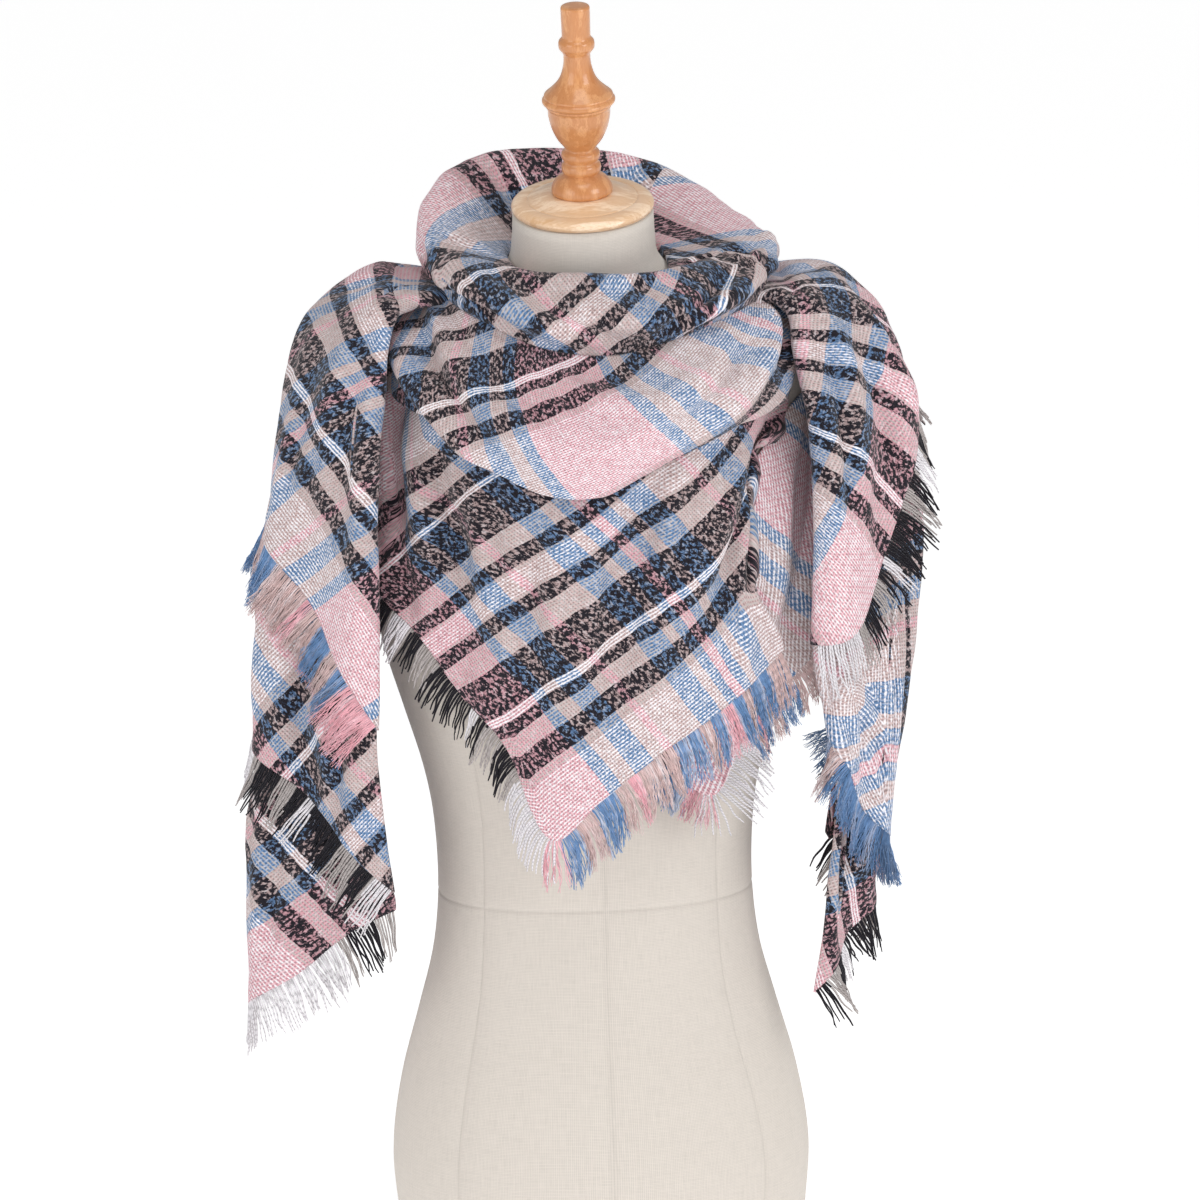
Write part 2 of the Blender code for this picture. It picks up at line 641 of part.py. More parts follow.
CAP_PROFILE = [  # radius, height
    (0, 9.5),
    (36, 9.5),
    (38, 8.4),
    (48.5, 7.6),
    (51.6, 6.0),
    (52.5, 3.6),
    (51.6, 1.2),
    (49.6, 0),
    (0, 0),
]
FINIAL_PROFILE = [  # radius, height above the cap
    (0, 146),
    (9.8, 145.6),
    (10.9, 143.5),
    (10.9, 124),
    (12.5, 121),
    (12.6, 113),
    (10.6, 109.5),
    (10.4, 95),
    (13, 85),
    (24.5, 78),
    (26.6, 76),
    (26.0, 72.5),
    (23.4, 70.5),
    (24.2, 67),
    (22.5, 62),
    (17, 50),
    (10.8, 37),
    (13.8, 34),
    (14.0, 29.5),
    (12.2, 26.5),
    (14.5, 22),
    (13.2, 17),
    (20, 10.5),
    (23, 3),
    (23, 0),
    (0, 0),
]


def build_wood(honey):
    """The neck's turned cap and the finial that stands on it."""
    turned_piece("neck_cap", CAP_PROFILE, 32, SEAM_GAP, honey)
    turned_piece("finial", FINIAL_PROFILE, 20, 2 * SEAM_GAP + 9.5 * MM, honey)


def main():
    for obj in list(bpy.data.objects):
        bpy.data.objects.remove(obj)
    parts = bpy.data.collections.new("blanket_scarf")
    bpy.context.scene.collection.children.link(parts)
    plaid = material("brushed_plaid_cloth", (0.62, 0.47, 0.50), 0.95)
    yarn = material("fringe_yarn", (0.80, 0.76, 0.77), 0.95)
    linen = material("form_linen", (0.78, 0.74, 0.68), 0.85)
    board = material("base_board", (0.60, 0.50, 0.38), 0.6)
    honey = material("varnished_wood", (0.66, 0.34, 0.13), 0.3)
    build_form(linen, board)
    build_wood(honey)
    for name in CLOTHS:
        cloth_piece(name, plaid)
    for name in FRINGES:
        fringe_piece(name, yarn)


if __name__ == "__main__":
    main()
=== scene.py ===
"""Looks for a fringed blanket scarf that is wound as a kerchief on a limbless dress form.

Metres, +Z up. The form faces -Y. Cloth is modelled as a thin wall on a grid that follows each
stretch of the scarf, with its creases laid in one by one, and one plaid runs over all of it.
"""

import bisect
import functools
import math
import random

import bmesh
import bpy
import numpy as np
from bpy.props import FloatProperty, FloatVectorProperty, PointerProperty
from mathutils import Matrix, Quaternion, Vector, noise


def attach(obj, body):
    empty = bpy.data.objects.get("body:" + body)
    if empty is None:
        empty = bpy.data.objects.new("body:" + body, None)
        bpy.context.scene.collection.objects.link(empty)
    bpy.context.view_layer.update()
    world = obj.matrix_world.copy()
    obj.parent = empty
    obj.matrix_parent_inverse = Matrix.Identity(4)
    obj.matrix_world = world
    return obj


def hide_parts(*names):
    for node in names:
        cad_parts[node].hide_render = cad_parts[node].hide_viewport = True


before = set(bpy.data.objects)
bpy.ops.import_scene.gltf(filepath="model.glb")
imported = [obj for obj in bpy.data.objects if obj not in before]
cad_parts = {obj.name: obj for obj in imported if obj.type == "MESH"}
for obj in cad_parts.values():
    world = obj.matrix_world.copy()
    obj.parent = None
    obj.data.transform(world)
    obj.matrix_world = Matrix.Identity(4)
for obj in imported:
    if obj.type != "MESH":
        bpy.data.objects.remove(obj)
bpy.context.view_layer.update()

bl_info = {
    "name": "Blanket scarf on a dress form",
    "version": (1, 0, 0),
    "blender": (4, 5, 0),
    "location": "View3D > Sidebar > Scarf",
    "description": "Builds a plaid blanket scarf, its fringe and the form that it rests on",
    "category": "Object",
}

MM = 0.001
JOINED = 0.01 * MM  # points nearer than this are one

# ------------------------------------------------------------------ sizes of the solids
CLOTH_WALL = 2.4 * MM  # brushed acrylic blanket cloth
SEAM_GAP = 0.3 * MM
LAYER = CLOTH_WALL + SEAM_GAP
FORM_LIFT = 2.3 * MM  # from the form's skin to the middle of cloth that lies on it
POUCH_LIFT = FORM_LIFT + LAYER + 0.8 * MM
UNDER_LIFT = FORM_LIFT + 0.7 * MM
BIB_LIFT = UNDER_LIFT + LAYER + 0.8 * MM

NECK_LEAN = 15  # degrees that the neck's top, its cap and its finial lean
LEAN_TURN = math.radians(8)
LEAN_AXIS = Vector((math.cos(LEAN_TURN), -math.sin(LEAN_TURN), 0))
NECK_TOP = Vector((0.0, -0.030, 0.828))
FORM_SQUARENESS = 2.25  # 2 is an ellipse

# The form's sections, in millimetres: depths are measured from the section's centre.
FORM_COLUMNS = "height half_width front back centre lean"
FORM_ROWS = [
    (10.3, 150, 108, 119, 0, 0),
    (60, 156, 113, 126, 0, 0),
    (110, 159, 115, 130, 0, 0),
    (165, 151, 109, 121, 0, 0),
    (220, 136, 98, 104, 0, 0),
    (266, 124, 91, 91, 0, 0),
    (315, 119, 88, 84, 0, 0),
    (370, 121, 92, 85, 0, 0),
    (410, 128, 99, 88, 0, 0),
    (455, 141, 111, 93, 0, 0),
    (500, 154, 122, 97, 0, 0),
    (550, 163, 127, 100, 0, 0),
    (600, 169, 119, 101, 0, 0),
    (645, 174, 105, 99, 0, 0),
    (685, 178, 90, 94, 0, 0),
    (715, 175, 78, 87, 0, 0),
    (738, 152, 68, 79, -2, 0),
    (756, 112, 60, 70, -8, 4),
    (772, 76, 53, 60, -16, 8),
    (790, 56, 50, 52, -25, 12),
    (808, 52.5, 50.5, 51, -29, 14),
    (828, 51.5, 50.5, 50.5, -30, 15),
]

# The collar's ring: a funnel from its foot at the neck up to the rim, over, and down outside
# to the edge that tucks under. Angles in degrees from the front round to the wearer's right
# (-X); radii and heights in millimetres.
COLLAR_CENTRE = Vector((0.010, -0.015, 0.0))
COLLAR_COLUMNS = "angle foot_r foot_z rim_r rim_z bulge_r bulge_z tuck_r tuck_z"
COLLAR_ROWS = [
    (0, 72, 772, 81, 786, 121, 760, 109, 734),
    (25, 71, 776, 91, 788, 128, 763, 118, 741),
    (48, 70, 784, 104, 794, 138, 778, 129, 762),
    (70, 69, 792, 119, 804, 136, 792, 124, 775),
    (92, 68, 797, 121, 824, 131, 806, 118, 780),
    (115, 67, 801, 113, 846, 130, 822, 117, 779),
    (126, 66, 803, 110, 853, 131, 824, 120, 783),
    (137, 65, 804, 108, 859, 132, 823, 124, 774),
    (160, 61, 805, 108, 861, 133, 818, 122, 762),
    (180, 58, 805, 108, 859, 132, 812, 120, 758),
    (205, 55, 804, 109, 851, 132, 804, 120, 758),
    (229, 52, 802, 107, 833, 131, 799, 126, 768),
    (240, 51, 800, 109, 822, 130, 797, 121, 776),
    (252, 51, 797, 112, 811, 130, 793, 118, 770),
    (272, 52, 791, 120, 797, 132, 786, 121, 768),
    (290, 56, 786, 117, 791, 134, 780, 124, 764),
    (312, 63, 780, 98, 790, 131, 772, 120, 756),
    (337, 70, 773, 85, 787, 124, 763, 112, 742),
]
COLLAR_STATIONS = (0.0, 0.34, 0.72, 1.0)  # foot, rim, bulge, tuck
COLLAR_SLACK = 2.2  # millimetres that it swings in and out on its way round
COLLAR_LIFT = 1.2 * FORM_LIFT
COLLAR_STARTS_AT = 215  # degrees: where the cloth's overlap in the collar lies, behind

POUCH_COLUMNS = "angle belly_r belly_z lip_r lip_z under_r under_z"
POUCH_ROWS = [
    (-92, 133, 755, 138, 738, 131, 730),
    (-75, 141, 745, 144, 715, 134, 707),
    (-60, 146, 735, 149, 696, 138, 690),
    (-45, 150, 722, 150, 685, 138, 684),
    (-25, 154, 708, 149, 673, 137, 675),
    (-8, 155, 690, 149, 653, 136, 657),
    (5, 156, 677, 151, 638, 137, 643),
    (20, 160, 681, 156, 641, 142, 647),
    (35, 164, 697, 161, 661, 148, 665),
    (50, 165, 715, 163, 684, 151, 687),
    (65, 163, 735, 165, 699, 155, 700),
    (80, 158, 757, 162, 720, 154, 716),
]
POUCH_STATIONS = (0.0, 0.5, 0.82, 1.0)  # start, belly, lip, under
POUCH_INSET = 1.0  # millimetres inside the collar's tucked edge at its start, and below it
POUCH_DROP = 2.4
POUCH_SWING = 3.5  # millimetres that it swings in and out on its way round

BIB_COLUMNS = "share angle x y z mid_x mid_y"
BIB_ROWS = [
    (0.00, 76, -174, -64, 575, 0, 0),
    (0.08, 70, -158, -78, 554, 0, 0),
    (0.20, 58, -130, -98, 524, 0, 0),
    (0.32, 44, -104, -112, 486, 0, 0),
    (0.44, 28, -74, -127, 450, 0, 0),
    (0.55, 10, -44, -145, 383, 0, 0),
    (0.66, -6, -6, -147, 410, 0, 0),
    (0.78, -22, 38, -145, 443, 0, 0),
    (0.90, -47, 84, -135, 471, 0, -8),
    (1.00, -72, 132, -114, 505, -26, -36),
]
BIB_DROP = 2.6 * MM  # its top edge lies this far below the pouch's under edge
BIB_INSET = LAYER + 0.8 * MM  # and this far inside it
BIB_WAVES = 3.2
BIB_WAVE_DEPTH = 6 * MM
BIB_WAVE_DRIFT = 2.2  # radians that its waves move round on the way down, and where they start
BIB_WAVE_START = 0.6
BIB_TURN = 12 * MM  # how far its +X edge turns back in a fold
BIB_TURNS_AT = 0.93  # the share of its way across from which it does
BIB_SWINGS = 0.3  # its middle hangs off the straight line by mid_x and mid_y from here on
BIB_RISES = 0.2  # the share of it over which it comes up to lie on the second layer
UNDER_WAVES = 2
UNDER_WAVE_DEPTH = 3 * MM

UNDER_COLUMNS = "share top_x top_y top_z x y z"
UNDER_ROWS = [
    (0.0, 60, -102, 600, 30, -108, 430),
    (0.3, 95, -90, 630, 58, -106, 411),
    (0.55, 122, -70, 662, 84, -104, 403),
    (0.8, 142, -56, 683, 112, -96, 455),
    (1.0, 169, -29, 704, 158, -79, 496),
]

# The ends over the shoulders: each section runs from an inner fold in front, round the outside
# and to an edge at the back; the rows go from the neck down to the hem.
TAIL_COLUMNS = "front_x front_y front_z out_x out_y out_z back_x back_y back_z dip"
RIGHT_END_ROWS = [  # on -X
    (-129, -82, 772, -136, 0, 783, 12, 78, 752, 1),
    (-142, -90, 765, -150, 0, 788, 14, 80, 735, 1),
    (-152, -97, 738, -174, 0, 777, 10, 86, 712, 1),
    (-155, -102, 704, -203, 0, 751, -8, 93, 685, 1),
    (-160, -106, 668, -216, 0, 714, -50, 97, 656, 1),
    (-162, -107, 625, -224, 0, 676, -100, 88, 628, 1),
    (-163, -106, 578, -230, 0, 646, -145, 66, 598, 1),
    (-164, -103, 520, -235, -3, 620, -176, 68, 576, 1),
    (-166, -100, 463, -240, -6, 598, -190, 76, 560, 1),
]
LEFT_END_ROWS = [  # on +X
    (136, -72, 768, 148, 0, 771, -14, 85.6, 748, 1),
    (147, -78, 757, 160, 0, 779, -17, 87.6, 731, 1),
    (151, -86, 735, 188, 0, 776, -12, 93.6, 708, 1),
    (156, -95, 708, 214, 0, 750, 8, 102, 682, 1.1),
    (160, -100, 676, 229, 0, 726, 55, 99, 655, 1.3),
    (162, -102, 638, 237, 0, 712, 104, 88, 633, 1.6),
    (162, -102, 595, 241, 0, 703, 146, 66, 612, 2),
    (161, -101, 552, 243, -2, 697, 172, 64, 596, 2.5),
    (159, -100, 510, 244, -4, 692, 188, 70, 584, 3),
]

# The tiers that hang inside the ends: the section at each one's hem, in the same columns.
RIGHT_MIDDLE_HEM = (-158, -88, 336, -255, -8, 440, -196, 66, 430, 1)
RIGHT_LOWER_HEM = (-157, -80, 318, -266, -20, 236, -204, 54, 312, 1.3)
LEFT_MIDDLE_HEM = (168, -86, 436, 217, -14, 343, 196, 64, 420, 1)
LEFT_LOWER_HEM = (158, -70, 240, 207, -22, 302, 186, 50, 330, 1)
# A tier's share of its parent's way round, its start down its parent, and how much of it lies there.
MIDDLE_TIER = (18 / 20, 10 / 12, 2 / 6)
LOWER_TIER = (16 / 18, 4 / 6, 2 / 5)
TIERS = {
    "right_end_middle": ("right_end_upper", MIDDLE_TIER, RIGHT_MIDDLE_HEM),
    "right_end_lower": ("right_end_middle", LOWER_TIER, RIGHT_LOWER_HEM),
    "left_end_middle": ("left_end_upper", MIDDLE_TIER, LEFT_MIDDLE_HEM),
    "left_end_lower": ("left_end_middle", LOWER_TIER, LEFT_LOWER_HEM),
}
ARM_AXIS = 0.150  # from the middle to the line that an end hangs round

PLEATS = 3.0
PLEAT_START = 0.8  # radians
PLEAT_DEPTH = 5 * MM
FINE_PLEATS = 23  # radians of a finer wave round an end, and its share of the depth
FINE_PLEAT_SHARE = 0.4
END_CROSSES = (25, 45)  # millimetres to +X of the middle, where +X's end comes down off -X's
TIER_FLOW = 0.3  # how far a tier's free part goes on in its parent's way before it turns
TIER_HEADS_FROM = 0.96  # the share down its parent from which that way is taken
TIER_GAP = LAYER + 0.5 * MM
NORMAL_STEP = 0.01  # the share of a surface over which its normal is taken

# ------------------------------------------------------------------ sizes of the form's looks
CAP_PROFILE = [  # radius and height, in millimetres
    (0, 13.2), (24, 13.0), (31, 11.6), (36.5, 9.6), (39.5, 8.9), (40.5, 8.3), (41.5, 8.7),
    (46.5, 8.3), (50.0, 7.0), (52.0, 5.0), (52.5, 3.2), (51.8, 1.2), (49.6, 0), (0, 0),
]
FINIAL_PROFILE = [  # radius, and height from CAP_RISE above the cap's underside
    (0, 146), (9.8, 145.6), (10.6, 143.5), (10.4, 124.5), (10.8, 122), (12.8, 119.5),
    (13.0, 114.5), (10.9, 111.5), (9.8, 109), (10.3, 101), (12.6, 93), (16.0, 87.5), (21.5, 82),
    (24.8, 79.2), (25.2, 78.0), (24.8, 77.2), (26.5, 75.6), (26.6, 73.6), (25.4, 72.4),
    (24.0, 71.6), (24.0, 70.2), (23.0, 68.8), (22.6, 63), (20.6, 54), (16.5, 45), (11.6, 38.5),
    (11.4, 37.0), (13.8, 34.6), (14.0, 30.5), (12.4, 27.6), (14.2, 24.8), (14.3, 20.4),
    (13.0, 18.0), (18.0, 14.5), (21.6, 9.5), (22.4, 5.0), (21.6, 3.4), (0, 3.4),
]
CAP_RISE = 9.5 * MM
PROFILE_STEPS = 3  # from each of a profile's points to the next
TURN_STEPS = 96
SHARP_FROM = 50  # degrees between faces, from which a turned edge is sharp

# The form's seams: angles in degrees from the front round to -X at each height.
SEAM_COLUMNS = "height front_right front_left"
SEAM_ROWS = [
    (10.3, 44, -44),
    (120, 44, -45),
    (220, 44, -42),
    (315, 46, -44),
    (500, 40, -40),
    (715, 30, -30),
    (828, 30, -30),
]
WAIST_SEAM = 312  # millimetres above the floor
PANEL_COLUMNS = 9
COVER_ROWS = 110
TOP_TURNS_IN = 0.2  # the share of the neck's top that the linen covers, under the cap
SEAM_SIDES = (-2.6, -1.0, 0, 1.0, 2.6)  # millimetres from a seam's middle
SEAM_WIDTH = 1.1  # millimetres from a seam's middle to where most of its depth is gone
SEAM_CLEARS = 4  # millimetres to each side of the waist's seam without other rows
SEAM_RADIUS = 130  # millimetres, at which a width round the form becomes an angle
SEAMS_END = (740, 775)  # heights between which the upright seams fade out, under the scarf
LINEN_THREAD = 1.1 * MM  # from one thread to the next
RIM_TURN = 9 * MM  # how far the linen's count runs on, under the cap

# The studio.
AIR_GLOW = 0.44
LAMPS = [  # each one's name, place and size in metres, and power in watts
    ("key", (2.1, -2.1, 1.7), 1.5, 29),
    ("fill", (-2.3, -2.0, 1.5), 1.8, 20),
    ("top", (0.1, -1.4, 3.2), 1.6, 17),
]
LAMPS_AIM = Vector((0, 0, 0.6))
FLOOR_SIZE = 30
CAMERA_LENS = 144  # millimetres, like the sensor's width
CAMERA_SENSOR = 36
CAMERA_AWAY = 3.6  # metres from its target
CAMERA_AZIMUTH = -4.8  # degrees round from the front
CAMERA_HEIGHT = 11  # degrees above level
CAMERA_ROLL = 1.3  # degrees
CAMERA_TARGET = Vector((0, 0, 0.53))
CAMERA_ASIDE = 0.0086  # metres to its right

# ------------------------------------------------------------------ sizes of the cloth's looks
WALL = 2.2 * MM  # of the visible cloth
FORM_CLEAR = 1.5 * MM  # the least from the form's skin to the middle of creased cloth
SWELLS = ((38, 1.1), (13, 0.35))  # millimetres: length and height of the cloth's unevenness

# The plaid: widths in millimetres from the middle of one broad band to the middle of the next
# narrow one, after which they come back in mirror order. Cover is the share of the cloth that
# the yarn across shows; the black is a loose, curled yarn and the others lie in fine lines.
ACROSS_COLUMNS = "colour wide cover loose"
ACROSS_BANDS = [
    ("white", 40, 0.33, 0),
    ("grey", 6.5, 0.36, 0),
    ("black", 15, 0.63, 1),
    ("grey", 14, 0.36, 0),
    ("black", 10, 0.63, 1),
    ("white", 5, 0.45, 0),
    ("black", 32, 0.62, 1),
    ("grey", 16.5, 0.36, 0),
    ("black", 11, 0.62, 1),
    ("grey", 2.5, 0.34, 0),
    ("white", 7.5, 0.27, 0),
]
ALONG_COLUMNS = "colour wide"
ALONG_BANDS = [
    ("pink", 40),
    ("blue", 10),
    ("beige", 14),
    ("blue", 18),
    ("beige", 12),
    ("pink", 5),
    ("beige", 29),
    ("blue", 20),
    ("beige", 9),
    ("blue", 9),
    ("pink", 4.5),
]

# How the plaid lies on each piece: the thread counts a and b, in millimetres from the middle of
# a broad band, at the middle of the flattened piece; their change for each millimetre across (x)
# and down (y) it; and how that change bends, for 100 mm.
CHART_COLUMNS = "a a_x a_y a_xx a_xy a_yy b b_x b_y b_xx b_xy b_yy"
CHARTS = {
    "cowl_collar": (89, -0.6, -0.57, 0.1, -0.05, -0.07, 110, -0.8, 0.5, -0.01, -0.07, 0.1),
    "pouch_fold": (35, -1.06, -0.28, -0.04, 0.04, -0.11, 3, 0.13, -1.21, 0.09, -0.02, -0.07),
    "bib_panel": (77, 0.11, -0.99, 0.16, -0.01, -0.01, 116, -0.91, -0.28, 0.05, -0.1, 0.09),
    "under_panel": (120, -1.2, 0.16, 0, 0, 0, 34, -0.42, -0.55, -0.1, 0, 0),
    "right_end_upper": (90, -0.94, 0.87, -0.02, 0.11, 0, 87, -0.04, -0.81, 0.22, -0.03, 0.03),
    "right_end_middle": (108, -0.53, -0.85, 0, 0, 0, -31, -0.7, 0.44, 0.07, 0, 0),
    "right_end_lower": (130, 0.66, -0.46, -0.04, -0.07, -0.11, 94, -0.45, -0.69, -0.04, 0.01, 0.01),
    "left_end_upper": (15, -0.41, -0.49, 0.05, 0.1, 0.03, 236, 0.94, -0.67, -0.03, 0, 0.13),
    "left_end_middle": (2, -0.32, 0.91, -0.02, -0.08, -0.12, 108, 0.92, 0.2, 0, 0, 0),
    "left_end_lower": (36, -0.74, -0.67, 0, 0, 0, 144, 0.8, -0.56, 0, 0, 0),
}

# Where folds take up cloth, so that a count runs on: which count, from and to which share down
# the piece and across it, and how far, in millimetres.
RUN_ON_COLUMNS = "count from_v to_v from_u to_u far"
RUNS_ON = {
    "under_panel": [("a", 0.66, 0.82, 0.88, 0.68, 115)],
    "bib_panel": [("a", 0.85, 0.30, 0.17, 0.06, -110), ("b", 1.0, 0.32, 0.78, 1.0, -38)],
}

# Creases, laid in one by one: each is a curve that leaves one place on its piece for another past
# a third, with its width and depth in millimetres. A trough's depth is positive, a ridge's
# negative.
CREASE_COLUMNS = "from_u from_v mid_u mid_v to_u to_v wide deep"
CREASES = {
    "cowl_collar": [
        (0.36, 0.95, 0.33, 0.74, 0.25, 0.50, 6, 6),
        (0.61, 0.62, 0.555, 0.72, 0.48, 0.97, 7, 6),
        (0.30, 0.42, 0.40, 0.40, 0.52, 0.42, 8, -4),
        (0.50, 0.50, 0.44, 0.75, 0.38, 0.97, 9, 4),
        (0.56, 0.42, 0.50, 0.68, 0.43, 0.90, 9, -4),
        (0.22, 0.55, 0.27, 0.75, 0.33, 0.90, 8, -4),
        (0.64, 0.50, 0.62, 0.75, 0.56, 0.95, 8, 4.5),
        (0.20, 0.45, 0.21, 0.70, 0.25, 0.95, 8, 5.5),
        (0.70, 0.45, 0.74, 0.70, 0.72, 0.95, 9, 5.5),
        (0.76, 0.50, 0.79, 0.72, 0.77, 0.92, 9, -4),
        (0.82, 0.50, 0.86, 0.70, 0.90, 0.95, 10, 4.5),
        (0.93, 0.45, 0.96, 0.65, 0.97, 0.92, 9, -4),
        (0.06, 0.50, 0.10, 0.70, 0.08, 0.95, 9, 6),
        (0.13, 0.45, 0.15, 0.65, 0.14, 0.90, 9, -4),
        (0.60, 0.05, 0.63, 0.18, 0.62, 0.32, 6, 4),
        (0.24, 0.02, 0.20, 0.20, 0.165, 0.34, 6, 7),
        (0.80, 0.04, 0.77, 0.16, 0.78, 0.30, 7, 4),
        (0.95, 0.05, 0.98, 0.15, 0.97, 0.30, 7, 4),
    ],
    "pouch_fold": [
        (0.93, 0.25, 0.82, 0.45, 0.68, 0.72, 8, 7),
        (0.95, 0.50, 0.83, 0.70, 0.70, 0.88, 7, -5.5),
        (0.97, 0.08, 0.88, 0.22, 0.76, 0.38, 7, -4),
        (0.80, 0.10, 0.72, 0.30, 0.60, 0.50, 9, 4.5),
        (0.22, 0.12, 0.33, 0.40, 0.50, 0.66, 9, 7),
        (0.15, 0.30, 0.28, 0.60, 0.42, 0.80, 8, -5.5),
        (0.66, 0.08, 0.56, 0.30, 0.44, 0.42, 9, -4),
        (0.10, 0.15, 0.14, 0.45, 0.20, 0.75, 6, 7),
        (0.05, 0.30, 0.10, 0.60, 0.22, 0.92, 7, -5.5),
        (0.03, 0.10, 0.06, 0.40, 0.10, 0.85, 6, 5.5),
        (0.98, 0.60, 0.90, 0.78, 0.80, 0.95, 6, 4.5),
    ],
    "bib_panel": [
        (0.95, 0.05, 0.90, 0.33, 0.86, 0.62, 6, 6),
        (0.90, 0.02, 0.855, 0.33, 0.80, 0.62, 8, -5),
        (0.82, 0.05, 0.79, 0.30, 0.73, 0.55, 9, 5.5),
        (0.03, 0.04, 0.08, 0.30, 0.12, 0.70, 7, 7),
        (0.09, 0.08, 0.15, 0.35, 0.22, 0.62, 8, -5.5),
        (0.20, 0.05, 0.24, 0.30, 0.32, 0.60, 10, 7),
        (0.33, 0.02, 0.35, 0.35, 0.42, 0.75, 12, -5.5),
        (0.47, 0.00, 0.47, 0.40, 0.52, 0.85, 13, 7),
        (0.58, 0.02, 0.59, 0.40, 0.60, 0.80, 12, -5.5),
        (0.69, 0.00, 0.70, 0.35, 0.68, 0.75, 11, 6),
        (0.92, 0.62, 0.90, 0.80, 0.91, 0.98, 8, 4),
        (0.12, 0.70, 0.14, 0.85, 0.18, 0.99, 9, 4),
        (0.36, 0.80, 0.38, 0.90, 0.39, 0.99, 9, -3.5),
    ],
    "under_panel": [
        (0.52, 0.10, 0.50, 0.50, 0.46, 0.95, 10, 3.5),
        (0.76, 0.05, 0.77, 0.45, 0.72, 0.92, 9, -3.5),
        (0.92, 0.04, 0.92, 0.40, 0.90, 0.85, 8, 4),
        (0.25, 0.60, 0.24, 0.80, 0.20, 0.98, 9, 3),
    ],
    "right_end_upper": [
        (0.10, 0.12, 0.09, 0.50, 0.12, 0.90, 9, 3),
        (0.03, 0.30, 0.035, 0.55, 0.05, 0.85, 7, -3),
        (0.20, 0.15, 0.19, 0.55, 0.22, 0.95, 9, -3),
        (0.32, 0.25, 0.30, 0.60, 0.34, 0.95, 10, 5),
        (0.28, 0.02, 0.33, 0.16, 0.45, 0.30, 9, 3.5),
        (0.45, 0.20, 0.44, 0.60, 0.46, 0.95, 10, -4),
        (0.56, 0.20, 0.57, 0.55, 0.55, 0.95, 9, 5),
        (0.64, 0.35, 0.63, 0.60, 0.65, 0.92, 9, -3),
        (0.70, 0.30, 0.72, 0.60, 0.72, 0.95, 10, 4),
        (0.83, 0.30, 0.84, 0.60, 0.82, 0.90, 8, -3.5),
        (0.92, 0.12, 0.93, 0.40, 0.91, 0.80, 9, 3.5),
        (0.04, 0.04, 0.14, 0.11, 0.27, 0.09, 7, 4),
        (0.05, 0.17, 0.12, 0.20, 0.20, 0.17, 7, -3),
    ],
    "right_end_middle": [
        (0.12, 0.40, 0.11, 0.70, 0.14, 0.98, 8, 5),
        (0.20, 0.45, 0.19, 0.70, 0.17, 0.95, 8, -3.5),
        (0.29, 0.40, 0.28, 0.70, 0.25, 0.98, 10, 5),
        (0.42, 0.40, 0.43, 0.70, 0.38, 0.98, 9, -4),
        (0.55, 0.40, 0.56, 0.70, 0.52, 0.98, 10, 4.5),
        (0.70, 0.40, 0.72, 0.70, 0.74, 0.98, 10, -4),
        (0.84, 0.40, 0.83, 0.70, 0.86, 0.98, 9, 4),
    ],
    "right_end_lower": [
        (0.10, 0.45, 0.13, 0.70, 0.11, 0.98, 8, 4.5),
        (0.19, 0.50, 0.22, 0.75, 0.20, 0.96, 8, -3.5),
        (0.33, 0.45, 0.31, 0.72, 0.34, 0.98, 10, 5),
        (0.47, 0.45, 0.49, 0.72, 0.46, 0.98, 10, -4),
        (0.62, 0.45, 0.60, 0.72, 0.63, 0.98, 10, 4.5),
        (0.80, 0.45, 0.79, 0.72, 0.82, 0.98, 9, 4),
    ],
    "left_end_upper": [
        (0.22, 0.30, 0.245, 0.62, 0.29, 0.95, 8, 7),
        (0.30, 0.25, 0.33, 0.60, 0.37, 0.92, 8, -5),
        (0.14, 0.22, 0.15, 0.55, 0.17, 0.92, 8, -4),
        (0.08, 0.10, 0.075, 0.40, 0.09, 0.88, 7, 5),
        (0.41, 0.20, 0.42, 0.55, 0.44, 0.95, 9, 5),
        (0.51, 0.30, 0.53, 0.60, 0.51, 0.95, 9, -4),
        (0.61, 0.20, 0.60, 0.55, 0.62, 0.92, 10, 5),
        (0.71, 0.25, 0.72, 0.55, 0.71, 0.90, 9, -3.5),
        (0.80, 0.20, 0.82, 0.50, 0.80, 0.90, 9, 4),
        (0.91, 0.10, 0.92, 0.40, 0.91, 0.80, 9, 3.5),
        (0.05, 0.04, 0.13, 0.10, 0.24, 0.08, 7, 4),
        (0.30, 0.03, 0.38, 0.12, 0.46, 0.22, 8, 3),
    ],
    "left_end_middle": [
        (0.10, 0.40, 0.12, 0.70, 0.16, 0.98, 8, 5),
        (0.20, 0.42, 0.22, 0.70, 0.24, 0.98, 8, -4),
        (0.31, 0.40, 0.32, 0.70, 0.35, 0.98, 9, 5),
        (0.45, 0.40, 0.44, 0.70, 0.45, 0.98, 10, -4),
        (0.58, 0.40, 0.60, 0.70, 0.57, 0.98, 10, 5),
        (0.73, 0.40, 0.72, 0.70, 0.74, 0.98, 9, -4),
        (0.86, 0.40, 0.87, 0.70, 0.85, 0.98, 9, 4),
    ],
    "left_end_lower": [
        (0.12, 0.45, 0.10, 0.72, 0.13, 0.98, 8, 4.5),
        (0.24, 0.45, 0.26, 0.72, 0.24, 0.98, 8, -4),
        (0.38, 0.45, 0.37, 0.72, 0.40, 0.98, 9, 5),
        (0.55, 0.45, 0.57, 0.72, 0.54, 0.98, 10, -4),
        (0.72, 0.45, 0.71, 0.72, 0.74, 0.98, 9, 4.5),
    ],
}

